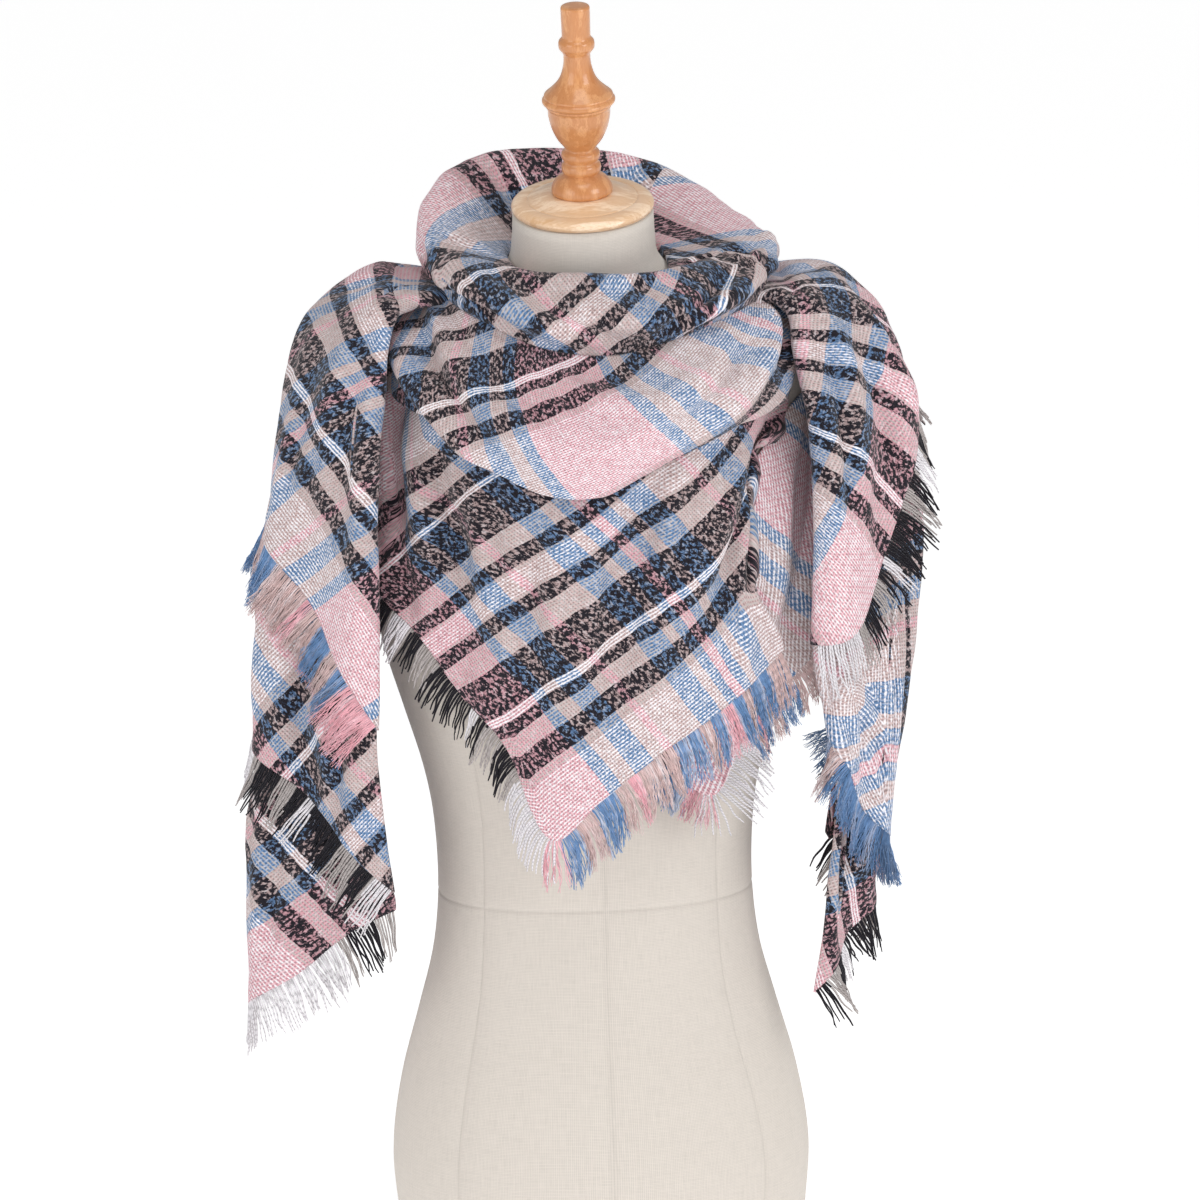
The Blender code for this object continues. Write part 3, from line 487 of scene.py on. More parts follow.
# Edges that are folds of the cloth, rolled under: the fold's radius, and how far it goes back.
FOLD_COLUMNS = "side radius tail"
FOLDS = {
    "cowl_collar": [("bottom", 3.5, 5)],
    "bib_panel": [("right", 4.5, 10)],
    "under_panel": [("right", 3.5, 6)],
    "right_end_upper": [("left", 6, 14), ("right", 3.5, 6)],
    "right_end_middle": [("left", 4, 8), ("right", 3, 5)],
    "right_end_lower": [("left", 3, 6), ("right", 3, 5)],
    "left_end_upper": [("left", 6, 14), ("right", 3.5, 6)],
    "left_end_middle": [("left", 4, 8), ("right", 3, 5)],
    "left_end_lower": [("left", 3, 6), ("right", 3, 5)],
}
FOLD_STEPS = 8  # of a fold's half turn
TAIL_STEPS = 3
TUCK_STEPS = 8  # rows by which an end's top is drawn in under the collar
TUCK_IN = 5  # millimetres inside the collar's tucked edge, and above it
TUCK_UP = 4
TUCK_NEAR = 8  # millimetres inside that edge from which an end's top goes on up to it
TUCK_LEAST = 1  # how far an end's top goes in and up in any case
FOOT_STEPS = 4  # rows by which the collar's foot comes down onto the neck
FOOT_DROP = 5  # millimetres
CREASE_STEPS = 12  # straight pieces of a crease's curve
CREASE_FADE = 0.35  # the share of it over which it comes to its depth, from either end
CREASE_END = 0.15  # how deep its ends are, as a share of its depth
CREASE_WANDERS = 0.25  # how much its width comes and goes, as a share of it
BANK = 0.3  # how high a trough's banks rise, as a share of its depth
BANK_AT = 1.9  # how far from its middle they are, and how wide, as shares of its width
BANK_WIDE = 0.9
TOP_FREED = 0.10  # the share of a piece over which its creases come up from its top
TIER_FREED = 0.25  # the same on a tier, from where it leaves its parent
TUCK_FREED = 0.12  # the same from the lower edges of the collar and the pouch
OVERLAP_FREED = 0.03  # the same from the collar's overlap
OUTSIDE_AT = 0.72  # the share down each piece at which its outside faces away from the middle

# Each piece's grid, and the size in metres that its cloth was cut to.
PIECE_COLUMNS = "across down width length area"
PIECES = {
    "cowl_collar": (304, 72, 0.84, 0.19, 0.085),
    "pouch_fold": (192, 80, 0.51, 0.13, 0.046),
    "bib_panel": (160, 112, 0.48, 0.26, 0.069),
    "under_panel": (72, 88, 0.17, 0.245, 0.023),
    "right_end_upper": (168, 128, 0.38, 0.325, 0.080),
    "right_end_middle": (152, 88, 0.295, 0.205, 0.046),
    "right_end_lower": (128, 88, 0.305, 0.30, 0.055),
    "left_end_upper": (168, 128, 0.41, 0.29, 0.068),
    "left_end_middle": (152, 88, 0.36, 0.36, 0.066),
    "left_end_lower": (128, 88, 0.255, 0.255, 0.043),
}
FLAT_STEPS = (8, 4, 2, 1)  # flattened on coarser grids first, so the grids are multiples of 8
FLAT_ROUNDS = (300, 80, 50, 30)

# The fringe of each hem: start and end are shares of the hem, length in millimetres; droop is how
# far the ends fall away from straight out, first where they start and then where they end. Cord
# is the crisp, plied ends of one thread system and tuft the soft brushed ends of the other.
FRINGE_COLUMNS = "node cloth start end kind length droop_from droop_to clear"
FRINGES = {
    "bib_right_cords": ("bib_fringe_right", "bib_panel", 0.08, 0.56, "cord", 35, 0.40, 0.9, 0),
    "bib_left_tufts": ("bib_fringe_left", "bib_panel", 0.55, 1.0, "tuft", 40, 0.85, 0.6, 0),
    "under_cords": ("under_fringe", "under_panel", 0.45, 0.74, "cord", 38, 0.2, 0.5, 0),
    "under_tufts": ("under_fringe", "under_panel", 0.1, 0.5, "tuft", 26, 0.6, 0.5, 0),
    "under_side_tufts": ("under_fringe", "under_panel", 0.74, 1.0, "tuft", 32, 0.7, 0.7, 0),
    "right_upper_tufts": ("right_upper_fringe", "right_end_upper", 0.0, 0.97, "tuft", 43, 0.3, 0.3, 0.2),
    "right_middle_cords": ("right_middle_fringe", "right_end_middle", 0.0, 0.97, "cord", 42, 0.3, 0.3, 0.25),
    "right_lower_cords": ("right_lower_fringe", "right_end_lower", 0.0, 0.97, "cord", 38, 0.4, 0.3, 0),
    "left_upper_cords": ("left_upper_fringe", "left_end_upper", 0.0, 0.97, "cord", 40, 0.6, 0.5, 0.3),
    "left_middle_tufts": ("left_middle_fringe", "left_end_middle", 0.0, 0.97, "tuft", 38, 0.35, 0.3, 0.36),
    "left_lower_cords": ("left_lower_fringe", "left_end_lower", 0.0, 0.97, "cord", 38, 0.4, 0.3, 0),
}
FRINGE_KINDS = "spacing strands thick bend points pulled lock"
FRINGE_MAKES = {  # millimetres; pulled is how far a lock's ends draw together, lock its least size
    "cord": (2.1, 1, 1.0, 0.9, 12, 0.22, 3),
    "tuft": (1.6, 5, 0.40, 1.9, 7, 0.45, 4),
}
ROOTED = 1.5 * MM  # how far a strand starts inside the hem
KNEE = 0.35  # the share of it that goes straight out before it turns
TAPER = 0.45  # the share of its radius that it loses towards its tip
LEAN = 0.12  # how far a hem's strands lean along it, to and fro
LEAN_TURN_EACH = 0.31  # radians from one strand to the next


def display(red, green, blue):
    """A colour as a screen shows it, in 0 to 255, as the values that a shader works in."""
    return tuple(
        c / 12.92 if c <= 0.04045 else ((c + 0.055) / 1.055) ** 2.4
        for c in (red / 255, green / 255, blue / 255)
    )


def tint(name, description, *tones):
    """A setting for a colour, whose first value is as a screen shows it."""
    start = display(*tones)
    return FloatVectorProperty(name=name, description=description, default=start, subtype="COLOR")


def length(name, description, start):
    """A setting for a length, whose first value is in millimetres."""
    return FloatProperty(name=name, description=description, default=start * MM, unit="LENGTH")


# ------------------------------------------------------------------ settings
class ScarfSettings(bpy.types.PropertyGroup):
    """What a user would change on the scarf."""

    thread: length("Thread", "From one thread to the next", 2.2)
    yarn: length("Fringe yarn", "A fringe cord's thickness", 2.0)
    white: tint("White", "White yarn", 238, 234, 238)
    grey: tint("Grey", "Grey yarn", 186, 178, 176)
    black: tint("Black", "Black yarn", 24, 20, 30)
    pink: tint("Pink", "Pink yarn", 228, 172, 182)
    blue: tint("Blue", "Blue yarn", 104, 140, 184)
    beige: tint("Beige", "Beige yarn", 206, 179, 177)


class FormSettings(bpy.types.PropertyGroup):
    """What a user would change on the dress form."""

    linen: tint("Linen", "The form's linen", 217, 209, 200)
    seam: length("Seam", "How deep its seams pull in", 0.7)
    wood: tint("Wood", "The cap's wood", 255, 228, 198)
    finial: tint("Finial", "The finial's wood", 222, 160, 106)


class StudioSettings(bpy.types.PropertyGroup):
    """What a user would change in the studio."""

    floor: FloatVectorProperty(
        name="Floor", description="The floor's colour", default=(0.9, 0.9, 0.9), subtype="COLOR"
    )
    glow: FloatProperty(name="Glow", description="How bright the floor is made", default=0.66)
    light: FloatProperty(name="Light", description="Strength of the soft light", default=1.0)


# ------------------------------------------------------------------ curves through tables
def table(columns, rows):
    """The rows of a short table as one tuple for each named column."""
    return dict(zip(columns.split(), zip(*rows)))


def named(columns, row):
    """A table's row as a dictionary by column."""
    return dict(zip(columns.split(), row))


def smooth(knots, values, at):
    """The value at `at` of a smooth curve through the knots."""
    last = len(knots) - 1
    i = min(max(bisect.bisect_right(knots, at) - 1, 0), last - 1)
    slopes = []
    for j in (i, i + 1):
        before, after = max(j - 1, 0), min(j + 1, last)
        slopes.append((values[after] - values[before]) / (knots[after] - knots[before]))
    step = knots[i + 1] - knots[i]
    t = (at - knots[i]) / step
    return (
        values[i] * (1 + 2 * t) * (1 - t) ** 2
        + values[i + 1] * t * t * (3 - 2 * t)
        + step * t * (1 - t) * (slopes[0] * (1 - t) - slopes[1] * t)
    )


def read(curves, name, at):
    """A column of a table at a place between its rows, which go by its first column."""
    return smooth(next(iter(curves.values())), curves[name], at)


def stations(curves, names, at):
    """The radii and the heights of a section's named stations at an angle."""
    return [[read(curves, name + way, at) for name in names] for way in ("_r", "_z")]


def ringed(rows):
    """Rows by angle with one turn more on each side, so that a curve through them closes."""
    behind = [(row[0] - 360, *row[1:]) for row in rows[-3:]]
    ahead = [(row[0] + 360, *row[1:]) for row in rows[:3]]
    return behind + rows + ahead


def ease(low, high, at):
    """0 below low, 1 above high, and smooth between them."""
    t = min(max((at - low) / (high - low), 0.0), 1.0)
    return t * t * (3 - 2 * t)


def eased(low, high, at):
    """The same for an array."""
    t = np.clip((at - low) / (high - low), 0, 1)
    return t * t * (3 - 2 * t)


FORM = table(FORM_COLUMNS, FORM_ROWS)
COLLAR = table(COLLAR_COLUMNS, ringed(COLLAR_ROWS))
POUCH = table(POUCH_COLUMNS, POUCH_ROWS)
BIB = table(BIB_COLUMNS, BIB_ROWS)
UNDER = table(UNDER_COLUMNS, UNDER_ROWS)
SEAMS = table(SEAM_COLUMNS, SEAM_ROWS)


# ------------------------------------------------------------------ the dress form's surface
def form_section(height):
    """Half width, front depth, back depth and centre of the form at a height."""
    at = min(max(height / MM, FORM["height"][0]), FORM["height"][-1])
    return [
        read(FORM, name, at) * MM for name in ("half_width", "front", "back", "centre")
    ]


def form_point(angle, height):
    """A point of the form's skin at an angle from the front round to -X, and a height in mm."""
    half_width, front, back, centre, lean = (
        read(FORM, name, height) for name in FORM_COLUMNS.split()[1:]
    )
    side, ahead = math.sin(angle), math.cos(angle)
    power = 2 / FORM_SQUARENESS
    x = -math.copysign(abs(side) ** power, side) * half_width
    depth = math.copysign(abs(ahead) ** power, ahead) * (front if ahead > 0 else back)
    point = Vector((x, -depth, 0))
    point.rotate(Quaternion(LEAN_AXIS, math.radians(lean)))
    return (point + Vector((0, centre, height))) * MM


def off_form(point, lift):
    """The point, moved straight out from the form's axis until it clears the skin by lift."""
    half_width, front, back, centre = form_section(point.z)
    x, y = point.x, point.y - centre
    depth = front if y < 0 else back
    power = FORM_SQUARENESS
    share = (abs(x / half_width) ** power + abs(y / depth) ** power) ** (1 / power)
    reach = math.hypot(x, y)
    skin = reach / max(share, 0.01)
    if reach >= skin + lift:
        return point
    grow = (skin + lift) / reach
    return Vector((x * grow, centre + y * grow, point.z))


# ------------------------------------------------------------------ the scarf's surfaces
def round_collar(angle, radius, height):
    """A point round the collar's centre: angle in degrees from the front towards -X."""
    turn = math.radians(angle)
    return COLLAR_CENTRE + Vector(
        (-math.sin(turn) * radius, -math.cos(turn) * radius, height)
    )


def collar_point(u, v):
    """The collar's funnel and roll: u is a turn from the front, v runs from foot to tuck."""
    angle = 360 * (u % 1.0)
    radii, heights = stations(COLLAR, ("foot", "rim", "bulge", "tuck"), angle)
    radius = smooth(COLLAR_STATIONS, radii, v)
    height = smooth(COLLAR_STATIONS, heights, v)
    slack = COLLAR_SLACK * math.sin(math.radians(3 * angle + 60)) * math.sin(math.pi * v) ** 2
    return off_form(round_collar(angle, (radius + slack) * MM, height * MM), COLLAR_LIFT)


def collar_round(u, v):
    """The collar once round from the overlap behind it."""
    return collar_point(u + COLLAR_STARTS_AT / 360, v)


def pouch_angle(u):
    return POUCH["angle"][0] + u * (POUCH["angle"][-1] - POUCH["angle"][0])


def pouch_point(u, v):
    """The swag: u runs from +X round the front to -X, v from the collar's tuck to under it."""
    angle = pouch_angle(u)
    start = collar_point(angle / 360, 1.0) - COLLAR_CENTRE
    radii, heights = stations(POUCH, ("belly", "lip", "under"), angle)
    radii.insert(0, start.to_2d().length / MM - POUCH_INSET)
    heights.insert(0, start.z / MM - POUCH_DROP)
    radius = smooth(POUCH_STATIONS, radii, v)
    height = smooth(POUCH_STATIONS, heights, v)
    folds = POUCH_SWING * math.sin(math.radians(4 * angle) + 5 * v) * math.sin(math.pi * v) ** 2
    return off_form(round_collar(angle, (radius + folds) * MM, height * MM), POUCH_LIFT)


def bib_point(u, v):
    """The hanging corner: u runs from -X to +X, v from the pouch down to the hem."""
    angle = read(BIB, "angle", u)
    share = (angle - POUCH["angle"][0]) / (POUCH["angle"][-1] - POUCH["angle"][0])
    top = pouch_point(share, 1.0) - Vector((0, 0, BIB_DROP))
    away = (top - COLLAR_CENTRE).to_2d().normalized()
    top -= away.to_3d() * BIB_INSET
    hem = Vector([read(BIB, axis, u) * MM for axis in "xyz"])
    point = top.lerp(hem, v)
    waves = math.sin(2 * math.pi * BIB_WAVES * u + BIB_WAVE_DRIFT * v + BIB_WAVE_START)
    fade = math.sin(math.pi * min(v + 0.12, 1.0)) * ease(0, 0.1, v)
    point.y += BIB_WAVE_DEPTH * waves * fade
    swing = ease(0, BIB_SWINGS, v) * (1 - ease(1 - BIB_SWINGS, 1, v))
    point.x += read(BIB, "mid_x", u) * MM * swing
    point.y += read(BIB, "mid_y", u) * MM * swing
    point.y += BIB_TURN * ease(BIB_TURNS_AT, 1.0, u) * ease(0.0, 0.15, v)
    return off_form(point, FORM_LIFT + (BIB_LIFT - FORM_LIFT) * ease(0, BIB_RISES, v))


def under_point(u, v):
    """The second layer: u runs to +X, v from its hidden top down to the hem."""
    top = Vector([read(UNDER, "top_" + axis, u) * MM for axis in "xyz"])
    hem = Vector([read(UNDER, axis, u) * MM for axis in "xyz"])
    point = top.lerp(hem, v)
    waves = math.sin(2 * math.pi * UNDER_WAVES * u + 1)
    point.y += UNDER_WAVE_DEPTH * waves * math.sin(math.pi * v)
    return off_form(point, UNDER_LIFT)


def section_arc(row, s):
    """The point at s of a section: a quarter ellipse to the outside and another to the back.

    Its dip is how late its height rises from the front to the outside: 1 on an ellipse.
    """
    section = named(TAIL_COLUMNS, row)
    front, out, back = (
        Vector([section[place + axis] for axis in ("_x", "_y", "_z")]) * MM
        for place in ("front", "out", "back")
    )
    edge, turn = (front, math.pi * s) if s < 0.5 else (back, math.pi * (1 - s))
    centre = Vector((edge.x, out.y, edge.z))
    point = centre + (edge - centre) * math.cos(turn) + (out - centre) * math.sin(turn)
    if s < 0.5:
        point.z = edge.z + (out.z - edge.z) * math.sin(turn) ** section["dip"]
    return point


def pleat(point, s, depth):
    """Moves a point of an end in or out from the end's own axis, in soft waves."""
    axis = Vector((math.copysign(ARM_AXIS, point.x), 0, point.z))
    away = (point - axis).normalized()
    wave = math.sin(2 * math.pi * PLEATS * s + PLEAT_START)
    wave += FINE_PLEAT_SHARE * math.sin(FINE_PLEATS * s)
    return point + away * depth * wave


def end_point(rows, s, v):
    """The top tier of an end: s goes round it and v down it, both 0 to 1."""
    columns = list(zip(*rows))
    knots = range(len(rows))
    row = [smooth(knots, column, v * (len(rows) - 1)) for column in columns]
    point = section_arc(row, s)
    point = pleat(point, s, PLEAT_DEPTH * ease(0.3, 0.8, v) * (1 - ease(0.8, 1.0, s)))
    return off_form(point, end_lift(rows, point))


def end_lift(rows, point):
    """How far an end's cloth stays off the form: behind the nape, +X's end lies on -X's."""
    if rows is not LEFT_END_ROWS or point.y < 0:
        return FORM_LIFT
    return FORM_LIFT + (LAYER + SEAM_GAP) * (1 - ease(*END_CROSSES, point.x / MM))


def moved_in(surface, s, v, distance):
    """The surface's point moved by a distance along its normal, towards the form's inside."""
    step = NORMAL_STEP
    around = surface(min(s + step, 1), v) - surface(max(s - step, 0), v)
    down = surface(s, min(v + step, 1)) - surface(s, max(v - step, 0))
    normal = around.cross(down).normalized()
    point = surface(s, v)
    inside = Vector((math.copysign(ARM_AXIS, point.x), 0, point.z)) - point
    return point + normal * math.copysign(distance, normal.dot(inside))


def hung_tier(parent, tier, hem):
    """A tier that lies inside its parent's lower part, and hangs on from there to its own hem.

    The tier says how much of its parent's way round it keeps, where down its parent it starts,
    and the share of its own way down that lies on its parent.
    """
    kept, leaves_at, together = tier

    def surface(s, v):
        if v <= together:
            along = leaves_at + (1 - leaves_at) * v / together
            return moved_in(parent, kept * s, along, TIER_GAP)
        start = moved_in(parent, kept * s, 1.0, TIER_GAP)
        end = pleat(section_arc(hem, s), s, PLEAT_DEPTH)
        heading = (parent(kept * s, 1.0) - parent(kept * s, TIER_HEADS_FROM)).normalized()
        middle = start + heading * TIER_FLOW * (end - start).length
        t = (v - together) / (1 - together)
        return start * (1 - t) ** 2 + middle * 2 * t * (1 - t) + end * t * t

    return surface


def plain_surface(name):
    """The surface that a piece of cloth follows before its creases."""
    if name in TIERS:
        parent, tier, hem = TIERS[name]
        return hung_tier(laid_surface(parent), tier, hem)
    return {
        "cowl_collar": collar_round,
        "pouch_fold": pouch_point,
        "bib_panel": bib_point,
        "under_panel": under_point,
        "right_end_upper": functools.partial(end_point, RIGHT_END_ROWS),
        "left_end_upper": functools.partial(end_point, LEFT_END_ROWS),
    }[name]


# ------------------------------------------------------------------ laying the cloth
def along_cloth(points):
    """How far each point of a grid lies across and down it, in millimetres from its middle."""
    steps = np.linalg.norm(np.diff(points, axis=1), axis=2) / MM
    across = np.concatenate([np.zeros((len(points), 1)), np.cumsum(steps, axis=1)], axis=1)
    across -= across[:, across.shape[1] // 2, None]
    steps = np.linalg.norm(np.diff(points, axis=0), axis=2) / MM
    down = np.concatenate([np.zeros((1, points.shape[1])), np.cumsum(steps, axis=0)])
    down -= down[down.shape[0] // 2]
    return np.stack([across, down], axis=2)


def relaxed(flat, points, rounds):
    """The flat places after rounds in which each pair of neighbours nears its true distance."""
    pairs = [
        (np.s_[:, :-1], np.s_[:, 1:]),
        (np.s_[:-1], np.s_[1:]),
        (np.s_[:-1, :-1], np.s_[1:, 1:]),
        (np.s_[:-1, 1:], np.s_[1:, :-1]),
    ]
    rests = [np.linalg.norm(points[two] - points[one], axis=2) / MM for one, two in pairs]
    for _ in range(rounds):
        shift = np.zeros(flat.shape)
        for (one, two), rest in zip(pairs, rests):
            gap = flat[two] - flat[one]
            length = np.linalg.norm(gap, axis=2)
            push = gap * ((length - rest) / np.maximum(length, 1e-6) / 2)[..., None]
            shift[one] += push
            shift[two] -= push
        flat = flat + shift / 4
    return flat


def flattened(points):
    """Each point's place on the piece laid flat, in millimetres from its middle."""
    coarse = FLAT_STEPS[0]
    flat = along_cloth(points)[::coarse, ::coarse]
    for step, rounds in zip(FLAT_STEPS, FLAT_ROUNDS):
        if step != coarse:
            rows, columns = (2 * n - 1 for n in flat.shape[:2])
            finer = np.zeros((rows, columns, 2))
            finer[::2, ::2] = flat
            finer[1::2, ::2] = (flat[:-1] + flat[1:]) / 2
            finer[:, 1::2] = (finer[:, :-1:2] + finer[:, 2::2]) / 2
            flat = finer
        flat = relaxed(flat, points[::step, ::step], rounds)
    middle = flat[flat.shape[0] // 2, flat.shape[1] // 2]
    ahead = flat[flat.shape[0] // 2, flat.shape[1] // 2 + coarse] - middle
    turn = np.array([[ahead[0], -ahead[1]], [ahead[1], ahead[0]]]) / np.linalg.norm(ahead)
    return (flat - middle) @ turn


def outward_normals(points):
    """The grid's normals: out of the form on the outside of the cloth."""
    normals = np.cross(np.gradient(points, axis=1), np.gradient(points, axis=0))
    normals /= np.maximum(np.linalg.norm(normals, axis=2), 1e-9)[..., None]
    row, column = int(points.shape[0] * OUTSIDE_AT), points.shape[1] // 2
    away = points[row, column] * (1, 1, 0)
    return normals * math.copysign(1, normals[row, column] @ away)


def at_share(grid, u, v):
    """The value of a grid at a share across and down it."""
    x, y = (min(max(k, 0.0), 1.0) * (n - 1) for k, n in zip((u, v), grid.shape[1::-1]))
    i, j = min(int(x), grid.shape[1] - 2), min(int(y), grid.shape[0] - 2)
    x, y = x - i, y - j
    upper = grid[j, i] * (1 - x) + grid[j, i + 1] * x
    lower = grid[j + 1, i] * (1 - x) + grid[j + 1, i + 1] * x
    return upper * (1 - y) + lower * y


def near_line(flat, line):
    """How far each place on a flat piece is from a line, and at what share along it."""
    aside = np.full(flat.shape[:2], np.inf)
    along = np.zeros(flat.shape[:2])
    for k, (here, there) in enumerate(zip(line, line[1:])):
        run = there - here
        at = np.clip((flat - here) @ run / (run @ run), 0, 1)
        gap = np.linalg.norm(flat - here - at[..., None] * run, axis=2)
        along = np.where(gap < aside, (k + at) / (len(line) - 1), along)
        aside = np.minimum(aside, gap)
    return aside, along


def crease_depth(flat, crease):
    """How far one crease moves each point of a grid in: a soft trough between raised banks."""
    row = named(CREASE_COLUMNS, crease)
    start, middle, end = (
        np.array([at_share(flat[..., k], row[place + "_u"], row[place + "_v"]) for k in (0, 1)])
        for place in ("from", "mid", "to")
    )
    shares = [k / CREASE_STEPS for k in range(CREASE_STEPS + 1)]
    line = [start * (1 - k) ** 2 + middle * 2 * k * (1 - k) + end * k * k for k in shares]
    aside, along = near_line(flat, line)
    aside = aside / (row["wide"] * (1 + CREASE_WANDERS * np.sin(9 * along + row["deep"])))
    fade = CREASE_END + (1 - CREASE_END) * eased(0, CREASE_FADE, np.minimum(along, 1 - along))
    profile = np.exp(-(aside**2)) - BANK * np.exp(-(((aside - BANK_AT) / BANK_WIDE) ** 2))
    return row["deep"] * profile * fade


@functools.lru_cache(maxsize=None)
def laid_cloth(name):
    """A piece's creased points, and the plaid's thread counts at each in metres."""
    across, down = PIECES[name][:2]
    surface = plain_surface(name)
    points = np.array(
        [
            [surface(i / across, j / down) for i in range(across + 1)]
            for j in range(down + 1)
        ]
    )
    flat = flattened(points)
    counts = plaid_counts(name, *np.moveaxis(flat, 2, 0))
    moved = np.zeros(flat.shape[:2])
    for crease in CREASES[name]:
        moved -= crease_depth(flat, crease)
    for size, height in SWELLS:
        spots = points.reshape(-1, 3) / (size * MM)
        swell = np.array([noise.noise(Vector(spot)) for spot in spots])
        moved += height * swell.reshape(moved.shape)
    moved *= freedom(name, *moved.shape)
    points = points + outward_normals(points) * (moved * MM)[..., None]
    lifted = [[off_form(Vector(point), FORM_CLEAR) for point in row] for row in points]
    return np.array(lifted), counts


def freedom(name, rows, columns):
    """How freely each point of a piece's grid may move: not where it lies on its neighbour."""
    v = np.linspace(0, 1, rows)[:, None]
    u = np.linspace(0, 1, columns)[None, :]
    start, full = 0.0, TOP_FREED
    if name in TIERS:
        start = TIERS[name][1][2]
        full = start + TIER_FREED
    free = np.clip((v - start) / (full - start), 0, 1) * np.ones_like(u)
    if name in ("cowl_collar", "pouch_fold"):
        free *= np.clip((1 - v) / TUCK_FREED, 0, 1)
    if name == "cowl_collar":
        free *= np.clip(np.minimum(u, 1 - u) / OVERLAP_FREED, 0, 1)
    return free * free * (3 - 2 * free)


def plaid_counts(name, across, down):
    """The plaid's thread counts over a piece, in metres: a first and b second."""
    row = named(CHART_COLUMNS, CHARTS[name])
    counts = []
    for key in "ab":
        count = row[key] + row[key + "_x"] * across + row[key + "_y"] * down
        count += row[key + "_xx"] * across**2 / 100
        count += row[key + "_xy"] * across * down / 100
        count += row[key + "_yy"] * down**2 / 100
        counts.append(count)
    v = np.linspace(0, 1, across.shape[0])[:, None]
    u = np.linspace(0, 1, across.shape[1])[None, :]
    for row in RUNS_ON.get(name, ()):
        run = named(RUN_ON_COLUMNS, row)
        down_it = eased(run["from_v"], run["to_v"], v)
        across_it = eased(run["from_u"], run["to_u"], u)
        key = "ab".index(run["count"])
        counts[key] = counts[key] + run["far"] * down_it * across_it
    return np.stack(counts, axis=2) * MM


def unit(ways):
    return ways / np.maximum(np.linalg.norm(ways, axis=-1), 1e-9)[..., None]


def softened(ways, closed):
    """Directions along an edge, evened out over their neighbours."""
    ends = (ways[-4:-1], ways[1:4]) if closed else (ways[:1].repeat(3, 0), ways[-1:].repeat(3, 0))
    padded = np.concatenate([ends[0], ways, ends[1]])
    return unit(sum(padded[k : k + len(ways)] for k in range(7)))


def rolled_edge(points, counts, normals, fold, closed):
    """New columns before a grid's first, for an edge that is a fold: round and back under."""
    radius, tail = fold["radius"] * MM, fold["tail"] * MM
    edge = points[:, 0]
    out = softened(edge - points[:, 3], closed)
    normal = softened(normals[:, 0], closed)
    rate = (counts[:, 0] - counts[:, 4]) / np.linalg.norm(edge - points[:, 4], axis=1)[:, None]
    places, lengths = [], []
    for k in range(1, FOLD_STEPS + 1):
        turn = math.pi * k / FOLD_STEPS
        places.append(edge + radius * (out * math.sin(turn) - normal * (1 - math.cos(turn))))
        lengths.append(radius * turn)
    for k in range(1, TAIL_STEPS + 1):
        back = tail * k / TAIL_STEPS
        places.append(edge - normal * 2 * radius - out * back)
        lengths.append(radius * math.pi + back)
    counted = [counts[:, 0] + rate * length for length in lengths]
    return np.stack(places[::-1], axis=1), np.stack(counted[::-1], axis=1)


def turned_grid(grid, side):
    """A grid turned so that the side comes first across it. Turned twice, it is as before."""
    if side == "right":
        return grid[:, ::-1]
    if side == "bottom":
        return grid[::-1, ::-1].swapaxes(0, 1)
    return grid


def with_fold(points, counts, fold, closed):
    """A piece's grid and counts with one edge's fold added."""
    side = fold["side"]
    given = [turned_grid(grid, side) for grid in (points, counts, outward_normals(points))]
    added = rolled_edge(*given, fold, closed)
    joined = [np.concatenate([new, old], axis=1) for new, old in zip(added, given)]
    return [turned_grid(grid, side) for grid in joined]


def with_rows(points, counts, goal, steps, near):
    """A grid with rows before its first, on to a goal, whose counts run on as up to row near."""
    first = points[0]
    rate = (counts[0] - counts[near]) / np.linalg.norm(first - points[near], axis=1)[:, None]
    rows, counted = [], []
    for k in range(steps, 0, -1):
        way = (goal - first) * k / steps
        rows.append(first + way)
        counted.append(counts[0] + rate * np.linalg.norm(way, axis=1)[:, None])
    return np.concatenate([rows, points]), np.concatenate([counted, counts])


def drawn_in(points, counts):
    """An end's grid and counts with rows above its top, drawn in under the collar."""
    top = points[0]
    away = top[:, :2] - COLLAR_CENTRE[:2]
    radius = np.linalg.norm(away, axis=1)
    angle = np.degrees(np.arctan2(-away[:, 0], -away[:, 1])) % 360
    tuck_r, tuck_z = (
        np.interp(angle, COLLAR["angle"], COLLAR[name]) * MM for name in ("tuck_r", "tuck_z")
    )
    goal_r = np.minimum(tuck_r - TUCK_IN * MM, radius - TUCK_LEAST * MM)
    share = np.clip((radius - tuck_r) / (TUCK_NEAR * MM) + 1, 0, 1)
    goal_z = top[:, 2] * (1 - share) + (tuck_z + TUCK_UP * MM) * share + TUCK_LEAST * MM
    goal = np.column_stack([away * (goal_r / radius)[:, None] + COLLAR_CENTRE[:2], goal_z])
    return with_rows(points, counts, goal, TUCK_STEPS, 4)


def seated_foot(points, counts):
    """The collar's grid and counts with rows below its foot, down onto the neck's linen."""
    goal = []
    for point in points[0]:
        drop = point[2] / MM - FOOT_DROP
        height = drop
        for _ in range(2):
            centre = read(FORM, "centre", height) * MM
            angle = math.atan2(-point[0], centre - point[1])
            skin = form_point(angle, height)
            height -= skin.z / MM - drop
        away = Vector((skin.x, skin.y - centre, 0)).normalized()
        goal.append(skin + away * (WALL / 2 + SEAM_GAP))
    return with_rows(points, counts, np.array(goal), FOOT_STEPS, 3)


def finished_cloth(name):
    """A piece's creased points and its thread counts, with its folded edges and its tuck."""
    points, counts = laid_cloth(name)
    if name.endswith("upper"):
        points, counts = drawn_in(points, counts)
    if name == "cowl_collar":
        points, counts = seated_foot(points, counts)
    for row in FOLDS.get(name, ()):
        fold = named(FOLD_COLUMNS, row)
        points, counts = with_fold(points, counts, fold, name == "cowl_collar")
    return points, counts


